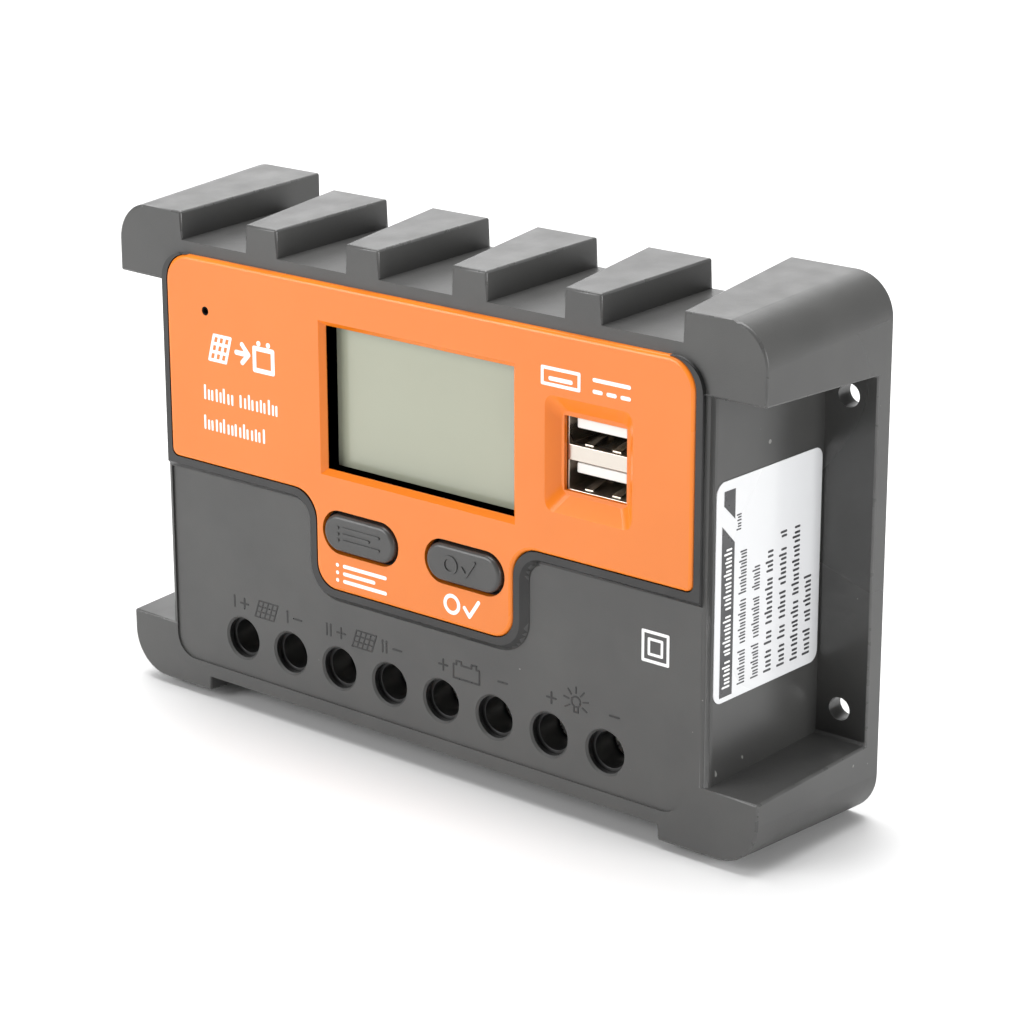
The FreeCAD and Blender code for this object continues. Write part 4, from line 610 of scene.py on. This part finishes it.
# ---------------------------------------------------------------- board parts
# Inside, and out of sight once the case is closed: two aluminium capacitors in shrunk plastic
# sleeves, a choke of enamelled copper wire on a ferrite spool, and the grey silicone pad that
# insulates the transistors from the heat sink.
sleeve = new_material("can_sleeve", (0.012, 0.016, 0.04), 0.2, Coat_Weight=0.5)
vary_roughness(sleeve, noise(sleeve, 300, 2), 0.34)
ferrite = new_material("ferrite", (0.03, 0.03, 0.032), 0.6)
vary_color(ferrite, noise(ferrite, 900, 4), (0.06, 0.06, 0.062))
copper = new_material("copper_wire", (0.72, 0.28, 0.1), 0.25, 1.0)
emboss(copper, noise(copper, 350, 0, (0.01, 8, 0.01)), 0.0002, 0.8)
silicone = new_material("pad_silicone", (0.28, 0.33, 0.39), 0.7)
vary_color(silicone, noise(silicone, 700, 2), (0.34, 0.4, 0.46))
from_node("cans", "capacitors", sleeve, 0.0001, 1)
from_node("spool", "choke_core", ferrite, 0.0002, 2)
from_node("winding", "choke_winding", copper, 0.0001, 1)
from_node("pad", "thermal_pad", silicone, 0.00005, 1)

# ---------------------------------------------------------------- heat sink and fixings
# Sheet of brushed aluminium that closes the back and cools the transistors, held by four screws.
# These and all the other screws and nuts are zinc-plated steel.
aluminium = new_material("heat_sink_aluminium", (0.5, 0.5, 0.51), 0.26, 1.0)
vary_roughness(aluminium, noise(aluminium, 900, 4, (0.02, 1, 1)), 0.46)
emboss(aluminium, noise(aluminium, 1400, 3, (0.015, 1, 1)), 0.00004, 0.35)
from_node("heat_sink", "rear_plate", aluminium, 0.0002, 2)
for node in ("rear_screws", "transistor_screws", "transistor_nuts", "board_screws", "display_screws"):
    from_node(node + "_plated", node, screw_steel, 0.00015, 2)

# ---------------------------------------------------------------- side label
# White film stuck on the right wall, with a dark slanted header band and rows of plain strokes
# that run from bottom to top where the real one has lines of words.
film = new_material("label_film", (0.7, 0.71, 0.725), 0.24, Coat_Weight=0.5, Coat_Roughness=0.1)
vary_color(film, noise(film, 12, 1), (0.76, 0.765, 0.77))
vary_roughness(film, noise(film, 14, 1), 0.3)
emboss(film, noise(film, 5000, 1), 0.000004, 0.1)
from_node("label", "side_label", film)
label_low, label_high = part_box("side_label")
FILM = 0.00015
slant = (label_high.x - label_low.x - FILM) / (label_high.y - label_low.y)
reading = plane_at(label_low.x + FILM, label_low.y, label_low.z, (0, 0, 1), (-slant, -1, 0))
grey_ink = new_material("grey_ink", (0.045, 0.045, 0.048), 0.26)
vary_color(grey_ink, noise(grey_ink, 400, 2), (0.06, 0.06, 0.063))
vary_roughness(grey_ink, noise(grey_ink, 500, 2), 0.36)
lines = bmesh.new()
# the header band and the cut piece beyond its slant
for outline in (((0.9, -1.5), (0.9, -4.9), (27.6, -4.9), (31.0, -1.5)),
                ((34.4, -1.9), (31.6, -4.9), (36.9, -4.9), (36.9, -1.9))):
    lines.faces.new([lines.verts.new(reading @ Vector((along / 1000, across / 1000, INK)))
                     for along, across in outline])
# each row's place across the label, where its groups of ticks start and end, and a tick's width
LIGHT, BOLD = 0.28, 0.42
for foot, groups, width in ((-8.3, ((2, 8), (9.2, 17), (18, 26)), LIGHT),
                            (-12.0, ((2, 8), (9.2, 16.6), (17.6, 22)), LIGHT),
                            (-15.6, ((2, 6), (7, 9.6), (10.6, 19), (19.8, 24)), BOLD),
                            (-19.3, ((2, 6), (7, 9.6), (10.6, 15.6), (16.6, 23.5), (25, 26)), BOLD),
                            (-23.0, ((2, 12.4), (13.8, 26.6)), BOLD),
                            (-26.5, ((2, 7), (8, 9.8), (10.8, 16.6)), BOLD)):
    tick_row(lines, reading, (0, foot), groups, 2.1, width, INK)
tick_row(lines, reading, (0, -6.6), ((29.4, 32.6),), 1.3, 0.26, INK)
finished("label_printing", lines, grey_ink)
white_row = bmesh.new()
raised = Matrix.Translation((INK, 0, 0)) @ reading
tick_row(white_row, raised, (0, -4.2), ((2.4, 7.4), (8.2, 15.2), (16.2, 27.2)), 2.1, 0.36, INK)
finished("label_header_printing", white_row, ink)

# ---------------------------------------------------------------- setting and camera
# Pale seamless floor under soft boxes: one above, one behind on the left, one at the front left
# and a weak one on the right.
floor_finish = new_material("floor", (0.8, 0.8, 0.8), 0.9)
floor_mesh = bpy.data.meshes.new("floor")
sweep = bmesh.new()
bmesh.ops.create_grid(sweep, x_segments=1, y_segments=1, size=8)
sweep.to_mesh(floor_mesh)
sweep.free()
floor_mesh.materials.append(floor_finish)
floor = bpy.data.objects.new("floor", floor_mesh)
bpy.context.scene.collection.objects.link(floor)
floor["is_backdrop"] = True

world = bpy.data.worlds.new("studio")
world.use_nodes = True
world.node_tree.nodes["Background"].inputs["Color"].default_value = (1, 1, 1, 1)
world.node_tree.nodes["Background"].inputs["Strength"].default_value = 0.22
bpy.context.scene.world = world
bpy.context.scene.view_settings.view_transform = "Standard"


def soft_box(name, spot, aim, width, power):
    """A square soft light at spot that faces aim."""
    light = bpy.data.lights.new(name, "AREA")
    light.size = width
    light.energy = power
    lamp = bpy.data.objects.new(name, light)
    lamp.location = spot
    lamp.rotation_euler = (Vector(spot) - Vector(aim)).to_track_quat("Z", "Y").to_euler()
    bpy.context.scene.collection.objects.link(lamp)
    lamp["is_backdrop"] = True


soft_box("overhead", (-0.1, 0.1, 1.2), (0, 0, 0.05), 1.0, 20)
soft_box("back_panel", (-1.0, 1.2, 0.75), (0, 0, 0.08), 1.3, 13)
soft_box("front_left", (-0.7, -1.1, 0.5), (0, 0, 0.05), 0.8, 13.5)
soft_box("right_side", (1.3, 0.1, 0.35), (0, 0, 0.05), 0.6, 10)

camera_data = bpy.data.cameras.new("camera")
camera_data.lens = 105.49
camera_data.sensor_width = 36
camera_data.shift_x = 0.0773
camera_data.shift_y = -0.0832
camera_data.clip_end = 30
camera = bpy.data.objects.new("camera", camera_data)
camera.location = (0.3318, -0.3933, 0.2167)
camera.rotation_euler = (radians(73.159), radians(0.539), radians(40.853))
bpy.context.scene.collection.objects.link(camera)
bpy.context.scene.camera = camera

low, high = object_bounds()
